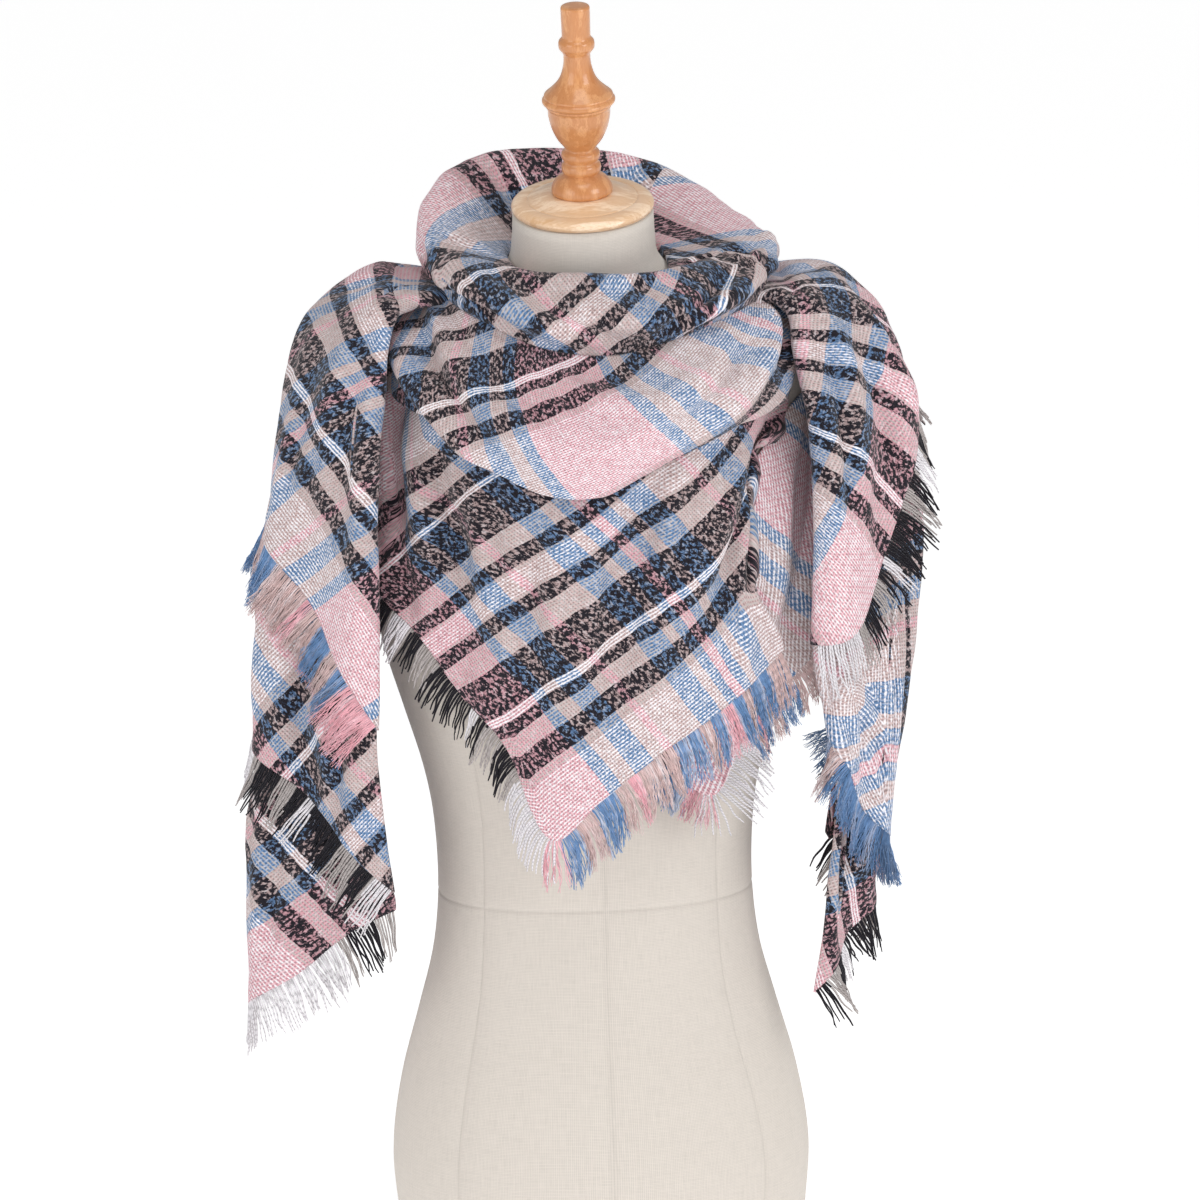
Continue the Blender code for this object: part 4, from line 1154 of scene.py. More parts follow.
def laid_surface(name):
    """A piece's creased grid as a surface of (s, v)."""
    points = laid_cloth(name)[0]
    return lambda s, v: Vector(at_share(points, s, v))


# ------------------------------------------------------------------ nodes and finishes
class Nodes:
    """Short calls for building one node tree."""

    def __init__(self, tree):
        self.tree = tree

    def add(self, kind, values=None, **settings):
        node = self.tree.nodes.new(kind)
        for key, value in settings.items():
            setattr(node, key, value)
        for key, value in (values or {}).items():
            if isinstance(value, bpy.types.NodeSocket):
                self.tree.links.new(value, node.inputs[key])
            else:
                node.inputs[key].default_value = value
        return node

    def math(self, operation, *values):
        node = self.add("ShaderNodeMath", dict(enumerate(values)), operation=operation)
        return node.outputs[0]

    def scaled(self, value, share, plus=None):
        """A value times a share, and a third value added where one is given."""
        if plus is None:
            return self.math("MULTIPLY", value, share)
        return self.math("MULTIPLY_ADD", value, share, plus)

    def vector(self, operation, first, second):
        node = self.add("ShaderNodeVectorMath", {0: first, 1: second}, operation=operation)
        return node.outputs[0]

    def mixed(self, share, first, second):
        """A number between two numbers."""
        node = self.add("ShaderNodeMix", {0: share, 2: first, 3: second})
        return node.outputs[0]

    def mix(self, share, first, second, blend="MIX"):
        """A colour between two colours."""
        values = {0: share, 6: first, 7: second}
        node = self.add("ShaderNodeMix", values, data_type="RGBA", blend_type=blend)
        return node.outputs[2]

    def ranged(self, value, low, high, to_low=0.0, to_high=1.0):
        values = {"Value": value, "From Min": low, "From Max": high}
        values.update({"To Min": to_low, "To Max": to_high})
        node = self.add("ShaderNodeMapRange", values, interpolation_type="SMOOTHSTEP")
        return node.outputs["Result"]

    def noise(self, vector, scale, roughness=0.5, detail=2.0, output="Fac"):
        values = {"Vector": vector, "Scale": scale, "Detail": detail, "Roughness": roughness}
        return self.add("ShaderNodeTexNoise", values).outputs[output]

    def axes(self, vector):
        """The outputs X, Y and Z of a vector."""
        return self.add("ShaderNodeSeparateXYZ", {0: vector}).outputs

    def wave(self, value):
        """A sine that changes sign at each whole number."""
        return self.math("SINE", self.scaled(value, math.pi))

    def uses(self, group, **values):
        """The outputs of a shader node group, given its inputs."""
        return self.add("ShaderNodeGroup", values, node_tree=group).outputs

    def layer(self, name):
        """A UV map of the piece's own."""
        return self.add("ShaderNodeUVMap", uv_map=name).outputs["UV"]

    def gives(self, node, **sockets):
        """Links each socket to the node's input of that name, and returns the tree."""
        for name, socket in sockets.items():
            self.tree.links.new(socket, node.inputs[name.replace("_", " ")])
        return self.tree

    def bumped(self, shader, height, strength, distance):
        """Gives the shader a bump from a height."""
        values = {"Height": height, "Strength": strength, "Distance": distance}
        self.gives(shader, Normal=self.add("ShaderNodeBump", values).outputs["Normal"])


def node_group(name, inputs, outputs):
    """An empty shader node group: its nodes, what it is given, and the node for what it makes."""
    group = bpy.data.node_groups.new(name, "ShaderNodeTree")
    kinds = {"value": "NodeSocketFloat", "colour": "NodeSocketColor", "vector": "NodeSocketVector"}
    for label, kind in inputs:
        group.interface.new_socket(label, in_out="INPUT", socket_type=kinds[kind])
    for label, kind in outputs:
        group.interface.new_socket(label, in_out="OUTPUT", socket_type=kinds[kind])
    nodes = Nodes(group)
    return nodes, nodes.add("NodeGroupInput").outputs, nodes.add("NodeGroupOutput")


def stripe_ramp(nodes, count, bands, shades):
    """A ramp over one thread system's bands, to and fro in mirror order, in the given shades."""
    total = sum(band["wide"] for band in bands)
    place = nodes.math("PINGPONG", count, total * MM)
    share = nodes.math("DIVIDE", place, total * MM)
    ramp = nodes.add("ShaderNodeValToRGB", {"Fac": share})
    ramp.color_ramp.interpolation = "CONSTANT"
    stops = ramp.color_ramp.elements
    start = 0.0
    for index, (band, shade) in enumerate(zip(bands, shades)):
        stop = stops[index] if index < 2 else stops.new(start / total)
        stop.position = start / total
        stop.color = (*shade, 1)
        start += band["wide"]
    return ramp.outputs["Color"]


def wandering(nodes, cloth, size, reach):
    """The place on the cloth, shifted softly to and fro so that no thread runs quite straight."""
    wander = nodes.noise(cloth, 1 / size, output="Color")
    half = nodes.vector("SUBTRACT", wander, (0.5, 0.5, 0.5))
    shift = nodes.vector("MULTIPLY", half, (reach, reach, 0))
    return nodes.vector("ADD", cloth, shift)


def stripes_group(colours):
    """The colours of the two thread systems at a place on the cloth, thread by thread."""
    nodes, given, made = node_group(
        "yarn stripes",
        [("Cloth", "vector"), ("Thread", "value")],
        [("Across", "colour"), ("Cover", "value"), ("Loose", "value"), ("Along", "colour")],
    )
    place = wandering(nodes, given["Cloth"], 26 * MM, 2.6 * MM)
    place = wandering(nodes, place, 5 * MM, 1.8 * MM)
    axes = nodes.axes(place)
    counts = [nodes.math("SNAP", axes[axis], given["Thread"]) for axis in "XY"]
    across = [named(ACROSS_COLUMNS, band) for band in ACROSS_BANDS]
    along = [named(ALONG_COLUMNS, band) for band in ALONG_BANDS]
    shades = [colours[band["colour"]] for band in across]
    lying = [(band["cover"], band["loose"], 0) for band in across]
    first = stripe_ramp(nodes, counts[1], across, shades)
    manner = stripe_ramp(nodes, counts[1], across, lying)
    cover, loose, _ = nodes.add("ShaderNodeSeparateColor", {0: manner}).outputs
    second = stripe_ramp(nodes, counts[0], along, [colours[band["colour"]] for band in along])
    stretched = nodes.vector("MULTIPLY", given["Cloth"], (520, 150, 1))
    streak = nodes.noise(stretched, 1.0)
    second = nodes.mix(nodes.ranged(streak, 0.46, 0.72, 0.0, 0.55), second, (*colours["white"], 1))
    second = nodes.mix(nodes.ranged(streak, 0.25, 0.5, 0.22, 0.0), second, (0, 0, 0, 1))
    second = nodes.mix(nodes.scaled(loose, 0.30), second, (0.012, 0.008, 0.02, 1))
    return nodes.gives(made, Across=first, Cover=cover, Loose=loose, Along=second)


def weave_group():
    """Plain weave, brushed: how much of the across yarn shows, how high it lies, and its shade: painted
    shade in the holes between the threads, with a random tone.
    """
    nodes, given, made = node_group(
        "brushed plain weave",
        [("Cloth", "vector"), ("Thread", "value"), ("Cover", "value"), ("Loose", "value")],
        [("Across shows", "value"), ("Height", "value"), ("Shade", "value")],
    )
    cloth, thread = given["Cloth"], given["Thread"]
    axes = nodes.axes(wandering(nodes, cloth, 6 * MM, 1.6 * MM))
    waves = [nodes.wave(nodes.math("DIVIDE", axes[axis], thread)) for axis in "XY"]
    over = nodes.scaled(*waves)
    along_hill, across_hill = (nodes.scaled(wave, wave) for wave in waves)
    fuzz = nodes.math("SUBTRACT", nodes.noise(cloth, 1300, 0.6), 0.5)
    patch = nodes.math("SUBTRACT", nodes.noise(cloth, 130, 0.6, detail=3.0), 0.5)
    # the fine yarns: thin lines, now and then under the others
    line = nodes.scaled(across_hill, 0.62, 0.19)
    line = nodes.scaled(over, 0.16, line)
    # the loose yarn: short gaps in which the along yarn floats over it
    slant = nodes.scaled(axes["X"], 0.2, axes["Y"])
    skewed = nodes.add("ShaderNodeCombineXYZ", {0: axes["X"], 1: slant})
    stretched = nodes.vector("MULTIPLY", skewed.outputs[0], (400, 265, 1))
    floats = nodes.ranged(nodes.noise(stretched, 1.0, 0.6), 0.28, 0.72)
    curl = nodes.scaled(over, 0.12, floats)
    shown = nodes.math("ADD", nodes.mixed(given["Loose"], line, curl), fuzz)
    shown = nodes.scaled(patch, 0.7, shown)
    bare = nodes.math("SUBTRACT", 1.0, given["Cover"])
    low = nodes.math("SUBTRACT", bare, 0.17)
    high = nodes.math("ADD", bare, 0.17)
    shows = nodes.ranged(shown, low, high)
    # painted shade: the holes between the threads are darkened as if shadow fell in them; the fuzz and the
    # patches vary the tone at random
    gaps = [nodes.math("SUBTRACT", 1.0, hill) for hill in (across_hill, along_hill)]
    hole = nodes.scaled(*gaps)
    deep = nodes.scaled(hole, nodes.math("ADD", fuzz, 0.75))
    shade = nodes.scaled(deep, -0.70, 1.05)
    shade = nodes.scaled(fuzz, 0.42, shade)
    shade = nodes.scaled(patch, 0.30, shade)
    height = nodes.scaled(hole, -1.0, 1.0)
    height = nodes.scaled(fuzz, 0.9, height)
    return nodes.gives(made, Across_shows=shows, Height=height, Shade=shade)


def new_material(name, slot_colour):
    made = bpy.data.materials.new(name)
    made.use_nodes = True
    made.diffuse_color = (*slot_colour, 1)
    nodes = Nodes(made.node_tree)
    return made, nodes, made.node_tree.nodes["Principled BSDF"]


def plain_sockets(shader, **values):
    """Sets the shader's own sockets that are the same all over."""
    for name, value in values.items():
        shader.inputs[name.replace("_", " ")].default_value = value


@functools.lru_cache(maxsize=None)
def finishes():
    """Every material, by name."""
    scarf = bpy.context.scene.scarf_looks
    form = bpy.context.scene.form_looks
    names = ("white", "grey", "black", "pink", "blue", "beige")
    colours = {name: tuple(getattr(scarf, name)) for name in names}
    stripes = stripes_group(colours)
    weave = weave_group()
    ply = ply_group()
    grain = grain_group()
    return {
        "plaid": plaid_cloth(stripes, weave, scarf.thread),
        "cord": fringe_yarn("crisp_fringe_cord", stripes, ply, "Across", 400, 1.0),
        "tuft": fringe_yarn("brushed_fringe_tuft", stripes, ply, "Along", 160, 1.25),
        "linen": form_linen(tuple(form.linen)),
        "cap": varnished_wood("varnished_cap_wood", grain, tuple(form.wood), (14, 75, 75)),
        "finial": varnished_wood("varnished_finial_wood", grain, tuple(form.finial), (90, 90, 14)),
        "board": board_wood(grain),
    }


def plaid_cloth(stripes, weave, thread):
    """Brushed blanket cloth, woven in plaid."""
    made, nodes, shader = new_material("brushed_plaid_cloth", (0.62, 0.47, 0.50))
    cloth = nodes.layer("cloth")
    yarns = nodes.uses(stripes, Cloth=cloth, Thread=thread)
    lies = {"Cover": yarns["Cover"], "Loose": yarns["Loose"]}
    woven = nodes.uses(weave, Cloth=cloth, Thread=thread, **lies)
    colour = nodes.mix(woven["Across shows"], yarns["Along"], yarns["Across"])
    # the weave's shade is painted into the colour: painted shade in its holes, and a random tone
    nodes.gives(shader, Base_Color=nodes.mix(1.0, colour, woven["Shade"], "MULTIPLY"))
    nodes.bumped(shader, woven["Height"], 0.6, 0.6 * MM)
    plain_sockets(shader, Roughness=0.95, Specular_IOR_Level=0.15, Sheen_Weight=0.15,
                  Sheen_Roughness=0.6)
    return made


def ply_group():
    """The twist of a plied yarn along a strand: a painted shade in the grooves between its plies, with a
    random tone, and a height.
    """
    nodes, given, made = node_group(
        "yarn ply",
        [("Strand", "vector"), ("Turns", "value")],
        [("Shade", "value"), ("Height", "value")],
    )
    axes = nodes.axes(given["Strand"])
    twist = nodes.scaled(axes["Y"], given["Turns"], axes["X"])
    ply = nodes.math("ABSOLUTE", nodes.wave(twist))
    fluff = nodes.noise(given["Strand"], 900, 0.6)
    # painted shade: the grooves between the plies are darker and their ridges lighter; the fluff varies the
    # tone at random
    shade = nodes.ranged(ply, 0.0, 1.0, 0.76, 1.08)
    shade = nodes.scaled(shade, nodes.ranged(fluff, 0.3, 0.7, 0.85, 1.08))
    return nodes.gives(made, Shade=shade, Height=nodes.math("ADD", ply, fluff))


def fringe_yarn(name, stripes, ply, system, turns, gain):
    """Loose yarn ends in the colours of one thread system."""
    made, nodes, shader = new_material(name, (0.80, 0.76, 0.77))
    thread = bpy.context.scene.scarf_looks.thread
    yarns = nodes.uses(stripes, Cloth=nodes.layer("cloth"), Thread=thread)
    twist = nodes.uses(ply, Strand=nodes.layer("strand"), Turns=turns)
    # the ply's painted shade in its grooves, times a gain for the yarn's brightness, is painted into the
    # colour
    shade = nodes.scaled(twist["Shade"], gain)
    nodes.gives(shader, Base_Color=nodes.mix(1.0, yarns[system], shade, "MULTIPLY"))
    nodes.bumped(shader, twist["Height"], 0.6, 0.3 * MM)
    plain_sockets(shader, Roughness=0.9, Specular_IOR_Level=0.2, Sheen_Weight=0.15,
                  Sheen_Roughness=0.5)
    return made


def form_linen(colour):
    """Fine plain linen, with slubs, painted shade between its threads, and a soft shade in its seams."""
    made, nodes, shader = new_material("form_linen", colour)
    cloth = nodes.layer("cloth")
    axes = nodes.axes(cloth)
    threads = []
    for axis, stretch in (("X", (900, 60, 1)), ("Y", (60, 900, 1))):
        wave = nodes.math("ABSOLUTE", nodes.wave(nodes.scaled(axes[axis], 1 / LINEN_THREAD)))
        mapped = nodes.add("ShaderNodeMapping", {"Vector": cloth, "Scale": stretch})
        slub = nodes.noise(mapped.outputs["Vector"], 1.0)
        threads.append(nodes.scaled(wave, slub))
    height = nodes.math("ADD", *threads)
    # painted shade: the low places between the threads are darker; the slubs vary the tone
    tone = nodes.ranged(height, 0.2, 1.0, 0.86, 1.05)
    seam = nodes.add("ShaderNodeAttribute", attribute_name="seam").outputs["Fac"]
    tone = nodes.scaled(tone, nodes.scaled(seam, -0.06, 1.0))
    nodes.gives(shader, Base_Color=nodes.mix(1.0, (*colour, 1), tone, "MULTIPLY"))
    nodes.bumped(shader, height, 0.35, 0.3 * MM)
    plain_sockets(shader, Roughness=0.85, Specular_IOR_Level=0.25, Sheen_Weight=0.1)
    return made


def grain_group():
    """Wood's growth bands and its fine dark pores, along the place's least stretched way."""
    nodes, given, made = node_group(
        "wood grain",
        [("Place", "vector"), ("Light", "colour"), ("Dark", "colour")],
        [("Colour", "colour"), ("Height", "value")],
    )
    place = given["Place"]
    light, dark = given["Light"], given["Dark"]
    bands = nodes.noise(place, 1.0, 0.6, detail=4.0)
    rings = nodes.math("SINE", nodes.scaled(bands, 34))
    tone = nodes.scaled(rings, 0.22, nodes.ranged(bands, 0.3, 0.7))
    pores = nodes.noise(place, 16.0, 0.7)
    pore = nodes.ranged(pores, 0.36, 0.50, 0.45, 0.0)
    colour = nodes.mix(nodes.scaled(tone, 0.85), dark, light)
    colour = nodes.mix(pore, colour, dark)
    return nodes.gives(made, Colour=colour, Height=nodes.math("SUBTRACT", bands, pore))


def grained(nodes, shader, grain, colour, stretch, relief):
    """Puts the wood's grain on a material, in its own colour and stretched its own way."""
    place = nodes.add("ShaderNodeTexCoord").outputs["Object"]
    mapped = nodes.add("ShaderNodeMapping", {"Vector": place, "Scale": stretch})
    dark = (colour[0] * 0.74, colour[1] * 0.58, colour[2] * 0.42, 1)
    place = mapped.outputs["Vector"]
    wood = nodes.uses(grain, Place=place, Light=(*colour, 1), Dark=dark)
    nodes.gives(shader, Base_Color=wood["Colour"])
    nodes.bumped(shader, wood["Height"], relief, 0.5 * MM)


def varnished_wood(name, grain, colour, stretch):
    """Turned wood under a glossy varnish."""
    made, nodes, shader = new_material(name, colour)
    grained(nodes, shader, grain, colour, stretch, 0.08)
    plain_sockets(shader, Roughness=0.35, Coat_Weight=0.6, Coat_Roughness=0.08)
    return made


def board_wood(grain):
    """The plain board under the form."""
    colour = (0.52, 0.42, 0.30)
    made, nodes, shader = new_material("base_board", colour)
    grained(nodes, shader, grain, colour, (6, 60, 60), 0.2)
    plain_sockets(shader, Roughness=0.6)
    return made


# ------------------------------------------------------------------ making pieces
def made_mesh(name, shape):
    """The mesh of a finished shape."""
    mesh = bpy.data.meshes.new(name)
    shape.to_mesh(mesh)
    shape.free()
    return mesh


def placed(name, data):
    """A new object in the scene."""
    thing = bpy.data.objects.new(name, data)
    bpy.context.scene.collection.objects.link(thing)
    return thing


def add_piece(name, mesh, finish, slot, *nodes):
    """A finished object that rides on the frame and stands for its CAD nodes."""
    piece = placed(name, mesh)
    mesh.materials.append(finish)
    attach(piece, "root")
    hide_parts(*nodes)
    return piece


def grid_mesh(name, points, counts, closed=False, seams=None):
    """A smooth mesh on a grid of points, with its thread counts as UVs and its seams marked."""
    rows, columns = points.shape[:2]
    grid = bmesh.new()
    bmesh.ops.create_grid(grid, x_segments=columns - 1, y_segments=rows - 1, size=0.5)
    layer = grid.loops.layers.uv.new("cloth")
    mark = None if seams is None else grid.verts.layers.float.new("seam")
    places = {}
    for vert in grid.verts:
        i = round((vert.co.x + 0.5) * (columns - 1))
        j = round((vert.co.y + 0.5) * (rows - 1))
        places[vert] = (j, i)
        vert.co = points[j, i]
        if mark:
            vert[mark] = seams[j, i]
    for face in grid.faces:
        face.smooth = True
        for loop in face.loops:
            loop[layer].uv = counts[places[loop.vert]]
    if closed:
        bmesh.ops.remove_doubles(grid, verts=grid.verts, dist=JOINED)
    bmesh.ops.recalc_face_normals(grid, faces=grid.faces)
    return made_mesh(name, grid)


def lay_piece(name, fringes=()):
    """One stretch of the scarf, as a thin wall on its creased grid."""
    points, counts = finished_cloth(name)
    mesh = grid_mesh(name + "_cloth", points, counts, closed=name == "cowl_collar")
    piece = add_piece(name + "_cloth", mesh, finishes()["plaid"], "brushed_plaid_cloth", name)
    wall = piece.modifiers.new("wall", "SOLIDIFY")
    wall.thickness = WALL
    wall.offset = 0.0
    size = named(PIECE_COLUMNS, PIECES[name])


def hem_frames(name, start, end, spacing):
    """Roots along a hem: a point, the way out, the way along, and the plaid's counts there."""
    points, counts = laid_cloth(name)
    hem = points[-1]
    inside = points[-4]
    lengths = np.concatenate([[0], np.cumsum(np.linalg.norm(np.diff(hem, axis=0), axis=1))])
    shares = np.linspace(0, 1, len(hem))
    first, last = (np.interp(share, shares, lengths) for share in (start, end))
    total = max(int((last - first) / spacing), 1)
    frames = []
    for k in range(total + 1):
        at = np.interp(first + (last - first) * k / total, lengths, np.arange(len(hem)))
        i = min(int(at), len(hem) - 2)
        point = Vector(hem[i]).lerp(Vector(hem[i + 1]), at - i)
        behind = Vector(inside[i]).lerp(Vector(inside[i + 1]), at - i)
        run = Vector(hem[i + 1] - hem[i]).normalized()
        out = point - behind
        out = (out - run * out.dot(run)).normalized()
        count = counts[-1, i] * (1 - at + i) + counts[-1, i + 1] * (at - i)
        frames.append((point, out, run, count))
    return frames


def outward(point):
    """The way straight out of the upper arm that an end hangs round, on the point's side."""
    return Vector((point.x - math.copysign(ARM_AXIS, point.x), point.y, 0)).normalized()


def strand_line(rng, root, out, way, reach, pull, bend, points):
    """A loose yarn end: straight out of the hem, then over towards its own way, in soft waves."""
    knee = root + out * reach * KNEE
    tip = knee + way * reach * (1 - KNEE) + pull
    side = way.orthogonal().normalized()
    other = way.cross(side)
    phase, turns = rng.uniform(0, 2 * math.pi), rng.uniform(1.0, 2.4)
    late = rng.uniform(0, 2 * math.pi)
    line = []
    for k in range(points):
        t = k / (points - 1)
        point = root * (1 - t) ** 2 + knee * 2 * t * (1 - t) + tip * t * t
        wave = 2 * math.pi * turns * t
        point += (side * math.sin(phase + wave) + other * math.sin(late + wave * 0.8)) * bend * t
        line.append(point)
    return line


def locks(rng, frames, size):
    """The hem's roots in locks of the size or up to twice it: each root's way to the middle."""
    ways = []
    while len(ways) < len(frames):
        members = frames[len(ways) : len(ways) + rng.randint(size, 2 * size)]
        middle = sum((point for point, _, _, _ in members), Vector()) / len(members)
        ways += [middle - point for point, _, _, _ in members]
    return ways


def fringe_lines(name, row, yarn):
    """The lines, thicknesses and plaid counts of every loose end on one hem."""
    rng = random.Random(name)
    make = named(FRINGE_KINDS, FRINGE_MAKES[row["kind"]])
    frames = hem_frames(row["cloth"], row["start"], row["end"], make["spacing"] * MM)
    to_middle = locks(rng, frames, make["lock"])
    lines = []
    for index, ((point, out, run, count), middle) in enumerate(zip(frames, to_middle)):
        share = index / max(len(frames) - 1, 1)
        droop = row["droop_from"] + (row["droop_to"] - row["droop_from"]) * share
        lean = run * LEAN * math.sin(index * LEAN_TURN_EACH)
        for _ in range(make["strands"]):
            way = out * (1 - droop) + Vector((0, 0, -droop)) + outward(point) * row["clear"]
            way = (way + lean + run * rng.uniform(-0.07, 0.07)).normalized()
            reach = row["length"] * MM * rng.uniform(0.80, 1.08)
            bend = make["bend"] * MM * rng.uniform(0.4, 1.2)
            start = point - out * ROOTED + run * rng.uniform(-0.5, 0.5) * MM
            pull = middle * make["pulled"]
            line = strand_line(rng, start, out, way, reach, pull, bend, make["points"])
            lines.append((line, yarn * make["thick"] * rng.uniform(0.8, 1.1) / 2, count))
    return lines


def grow_fringe(name):
    """All the loose ends of one hem, as bevelled curves made into one mesh."""
    row = named(FRINGE_COLUMNS, FRINGES[name])
    lines = fringe_lines(name, row, bpy.context.scene.scarf_looks.yarn)
    curve = bpy.data.curves.new(name, "CURVE")
    curve.dimensions = "3D"
    curve.bevel_depth = 1.0
    curve.bevel_resolution = 0
    curve.use_fill_caps = True
    for line, radius, _ in lines:
        spline = curve.splines.new("POLY")
        spline.points.add(len(line) - 1)
        for k, (spot, point) in enumerate(zip(spline.points, line)):
            spot.co = (*point, 1)
            spot.radius = radius * (1 - TAPER * (k / (len(line) - 1)) ** 3)
    holder = placed(name, curve)
    bpy.context.view_layer.update()
    ready = holder.evaluated_get(bpy.context.evaluated_depsgraph_get())
    mesh = bpy.data.meshes.new_from_object(ready)
    bpy.data.objects.remove(holder)
    bpy.data.curves.remove(curve)
    colour_strands(mesh, lines)
    return add_piece(name, mesh, finishes()[row["kind"]], "fringe_yarn", row["node"])


def colour_strands(mesh, lines):
    """Gives each strand its root's thread counts, and its own length, as UV maps."""
    each = len(mesh.vertices) // len(lines)
    mesh.materials.clear()
    cloth = mesh.uv_layers.new(name="cloth")
    strand = mesh.uv_layers.new(name="strand")
    corners = np.zeros(len(mesh.loops), dtype=np.int32)
    mesh.loops.foreach_get("vertex_index", corners)
    spots = np.zeros(len(mesh.vertices) * 3)
    mesh.vertices.foreach_get("co", spots)
    spots = spots.reshape(-1, 3)
    owner = corners // each
    roots = np.array([count for _, _, count in lines])
    cloth.uv.foreach_set("vector", roots[owner].astype(np.float32).ravel())
    starts = np.array([line[0] for line, _, _ in lines])
    along = np.linalg.norm(spots[corners] - starts[owner], axis=1)
    turn = (corners % 4) / 4
    pairs = np.stack([turn, along], axis=1)
    strand.uv.foreach_set("vector", pairs.astype(np.float32).ravel())
    mesh.shade_smooth()


# ------------------------------------------------------------------ operators
class SCARF_OT_collar(bpy.types.Operator):
    """Lay the collar that is wound round the neck"""

    bl_idname = "scarf.lay_collar"
    bl_label = "Collar"

    def execute(self, context):
        lay_piece("cowl_collar")
        return {"FINISHED"}


class SCARF_OT_front(bpy.types.Operator):
    """Lay the pouch, the hanging corner and the layer under it, with their fringe"""

    bl_idname = "scarf.lay_front"
    bl_label = "Pouch and corner"

    def execute(self, context):
        lay_piece("pouch_fold")
        corner = [grow_fringe("bib_right_cords"), grow_fringe("bib_left_tufts")]
        lay_piece("bib_panel", corner)
        under = [grow_fringe(f"under_{kind}") for kind in ("cords", "tufts", "side_tufts")]
        lay_piece("under_panel", under)
        return {"FINISHED"}


class SCARF_OT_ends(bpy.types.Operator):
    """Lay the two ends over the shoulders, tier by tier, with their fringe"""

    bl_idname = "scarf.lay_ends"
    bl_label = "Ends over the shoulders"

    def execute(self, context):
        for fringe, row in FRINGES.items():
            cloth = row[1]
            if "end" in cloth:
                lay_piece(cloth, [grow_fringe(fringe)])
        return {"FINISHED"}


def rounded_profile(profile):
    """The profile with more points, on a smooth curve through its own."""
    lengths = [0.0]
    for here, there in zip(profile, profile[1:]):
        lengths.append(lengths[-1] + max(math.dist(here, there), 0.1))
    radii, heights = zip(*profile)
    line = []
    for low, high in zip(lengths, lengths[1:]):
        for k in range(PROFILE_STEPS):
            at = low + (high - low) * k / PROFILE_STEPS
            line.append((max(smooth(lengths, radii, at), 0), smooth(lengths, heights, at)))
    line.append(profile[-1])
    return line


def turned_piece(name, profile, lift, finish):
    """A turned piece on the neck's leaning axis."""
    turned = bmesh.new()
    line = rounded_profile(profile)
    spots = [turned.verts.new((radius * MM, 0, height * MM)) for radius, height in line]
    edges = [turned.edges.new(pair) for pair in zip(spots, spots[1:])]
    bmesh.ops.spin(
        turned,
        geom=spots + edges,
        cent=(0, 0, 0),
        axis=(0, 0, 1),
        angle=2 * math.pi,
        steps=TURN_STEPS,
        use_merge=True,
    )
    bmesh.ops.remove_doubles(turned, verts=turned.verts, dist=JOINED)
    bmesh.ops.recalc_face_normals(turned, faces=turned.faces)
    lean = Quaternion(LEAN_AXIS, math.radians(NECK_LEAN))
    place = Matrix.Translation(NECK_TOP + lean @ Vector((0, 0, lift)))
    bmesh.ops.transform(turned, matrix=place @ lean.to_matrix().to_4x4(), verts=turned.verts)
    mesh = made_mesh(name, turned)
    mesh.shade_smooth()
    mesh.set_sharp_from_angle(angle=math.radians(SHARP_FROM))
    add_piece(name + "_wood", mesh, finish, "varnished_wood", name)


class SCARF_OT_wood(bpy.types.Operator):
    """Turn the neck's cap and the finial"""

    bl_idname = "scarf.turn_wood"
    bl_label = "Cap and finial"

    def execute(self, context):
        turned_piece("neck_cap", CAP_PROFILE, SEAM_GAP, finishes()["cap"])
        turned_piece("finial", FINIAL_PROFILE, 2 * SEAM_GAP + CAP_RISE, finishes()["finial"])
        return {"FINISHED"}


def seam_angles(height):
    """The form's vertical seams at a height, once round, in degrees."""
    right, left = (read(SEAMS, name, height) for name in ("front_right", "front_left"))
    return [left, 0, right, 90, 135, 180, 225, 270]


def cover_columns(height):
    """The cover's columns at a height: an angle, and how much of a seam's depth it takes."""
    seams = seam_angles(height)
    sewn = 1 - ease(*SEAMS_END, height)
    columns = []
    for here, there in zip(seams, seams[1:] + [seams[0] + 360]):
        edge = math.degrees(SEAM_SIDES[-1] / SEAM_RADIUS)
        for aside in SEAM_SIDES:
            angle = here + math.degrees(aside / SEAM_RADIUS)
            columns.append((angle, sewn * math.exp(-((aside / SEAM_WIDTH) ** 2))))
        for k in range(1, PANEL_COLUMNS):
            share = k / PANEL_COLUMNS
            columns.append((here + edge + (there - here - 2 * edge) * share, 0.0))
    columns.append((columns[0][0] + 360, columns[0][1]))
    return columns


def cover_heights():
    """The cover's rows, closer at the waist's seam."""
    low, high = FORM["height"][0], FORM["height"][-1]
    heights = [low + (high - low) * k / COVER_ROWS for k in range(COVER_ROWS + 1)]
    near = [h for h in heights if abs(h - WAIST_SEAM) > SEAM_CLEARS]
    return sorted(near + [WAIST_SEAM + aside for aside in SEAM_SIDES])


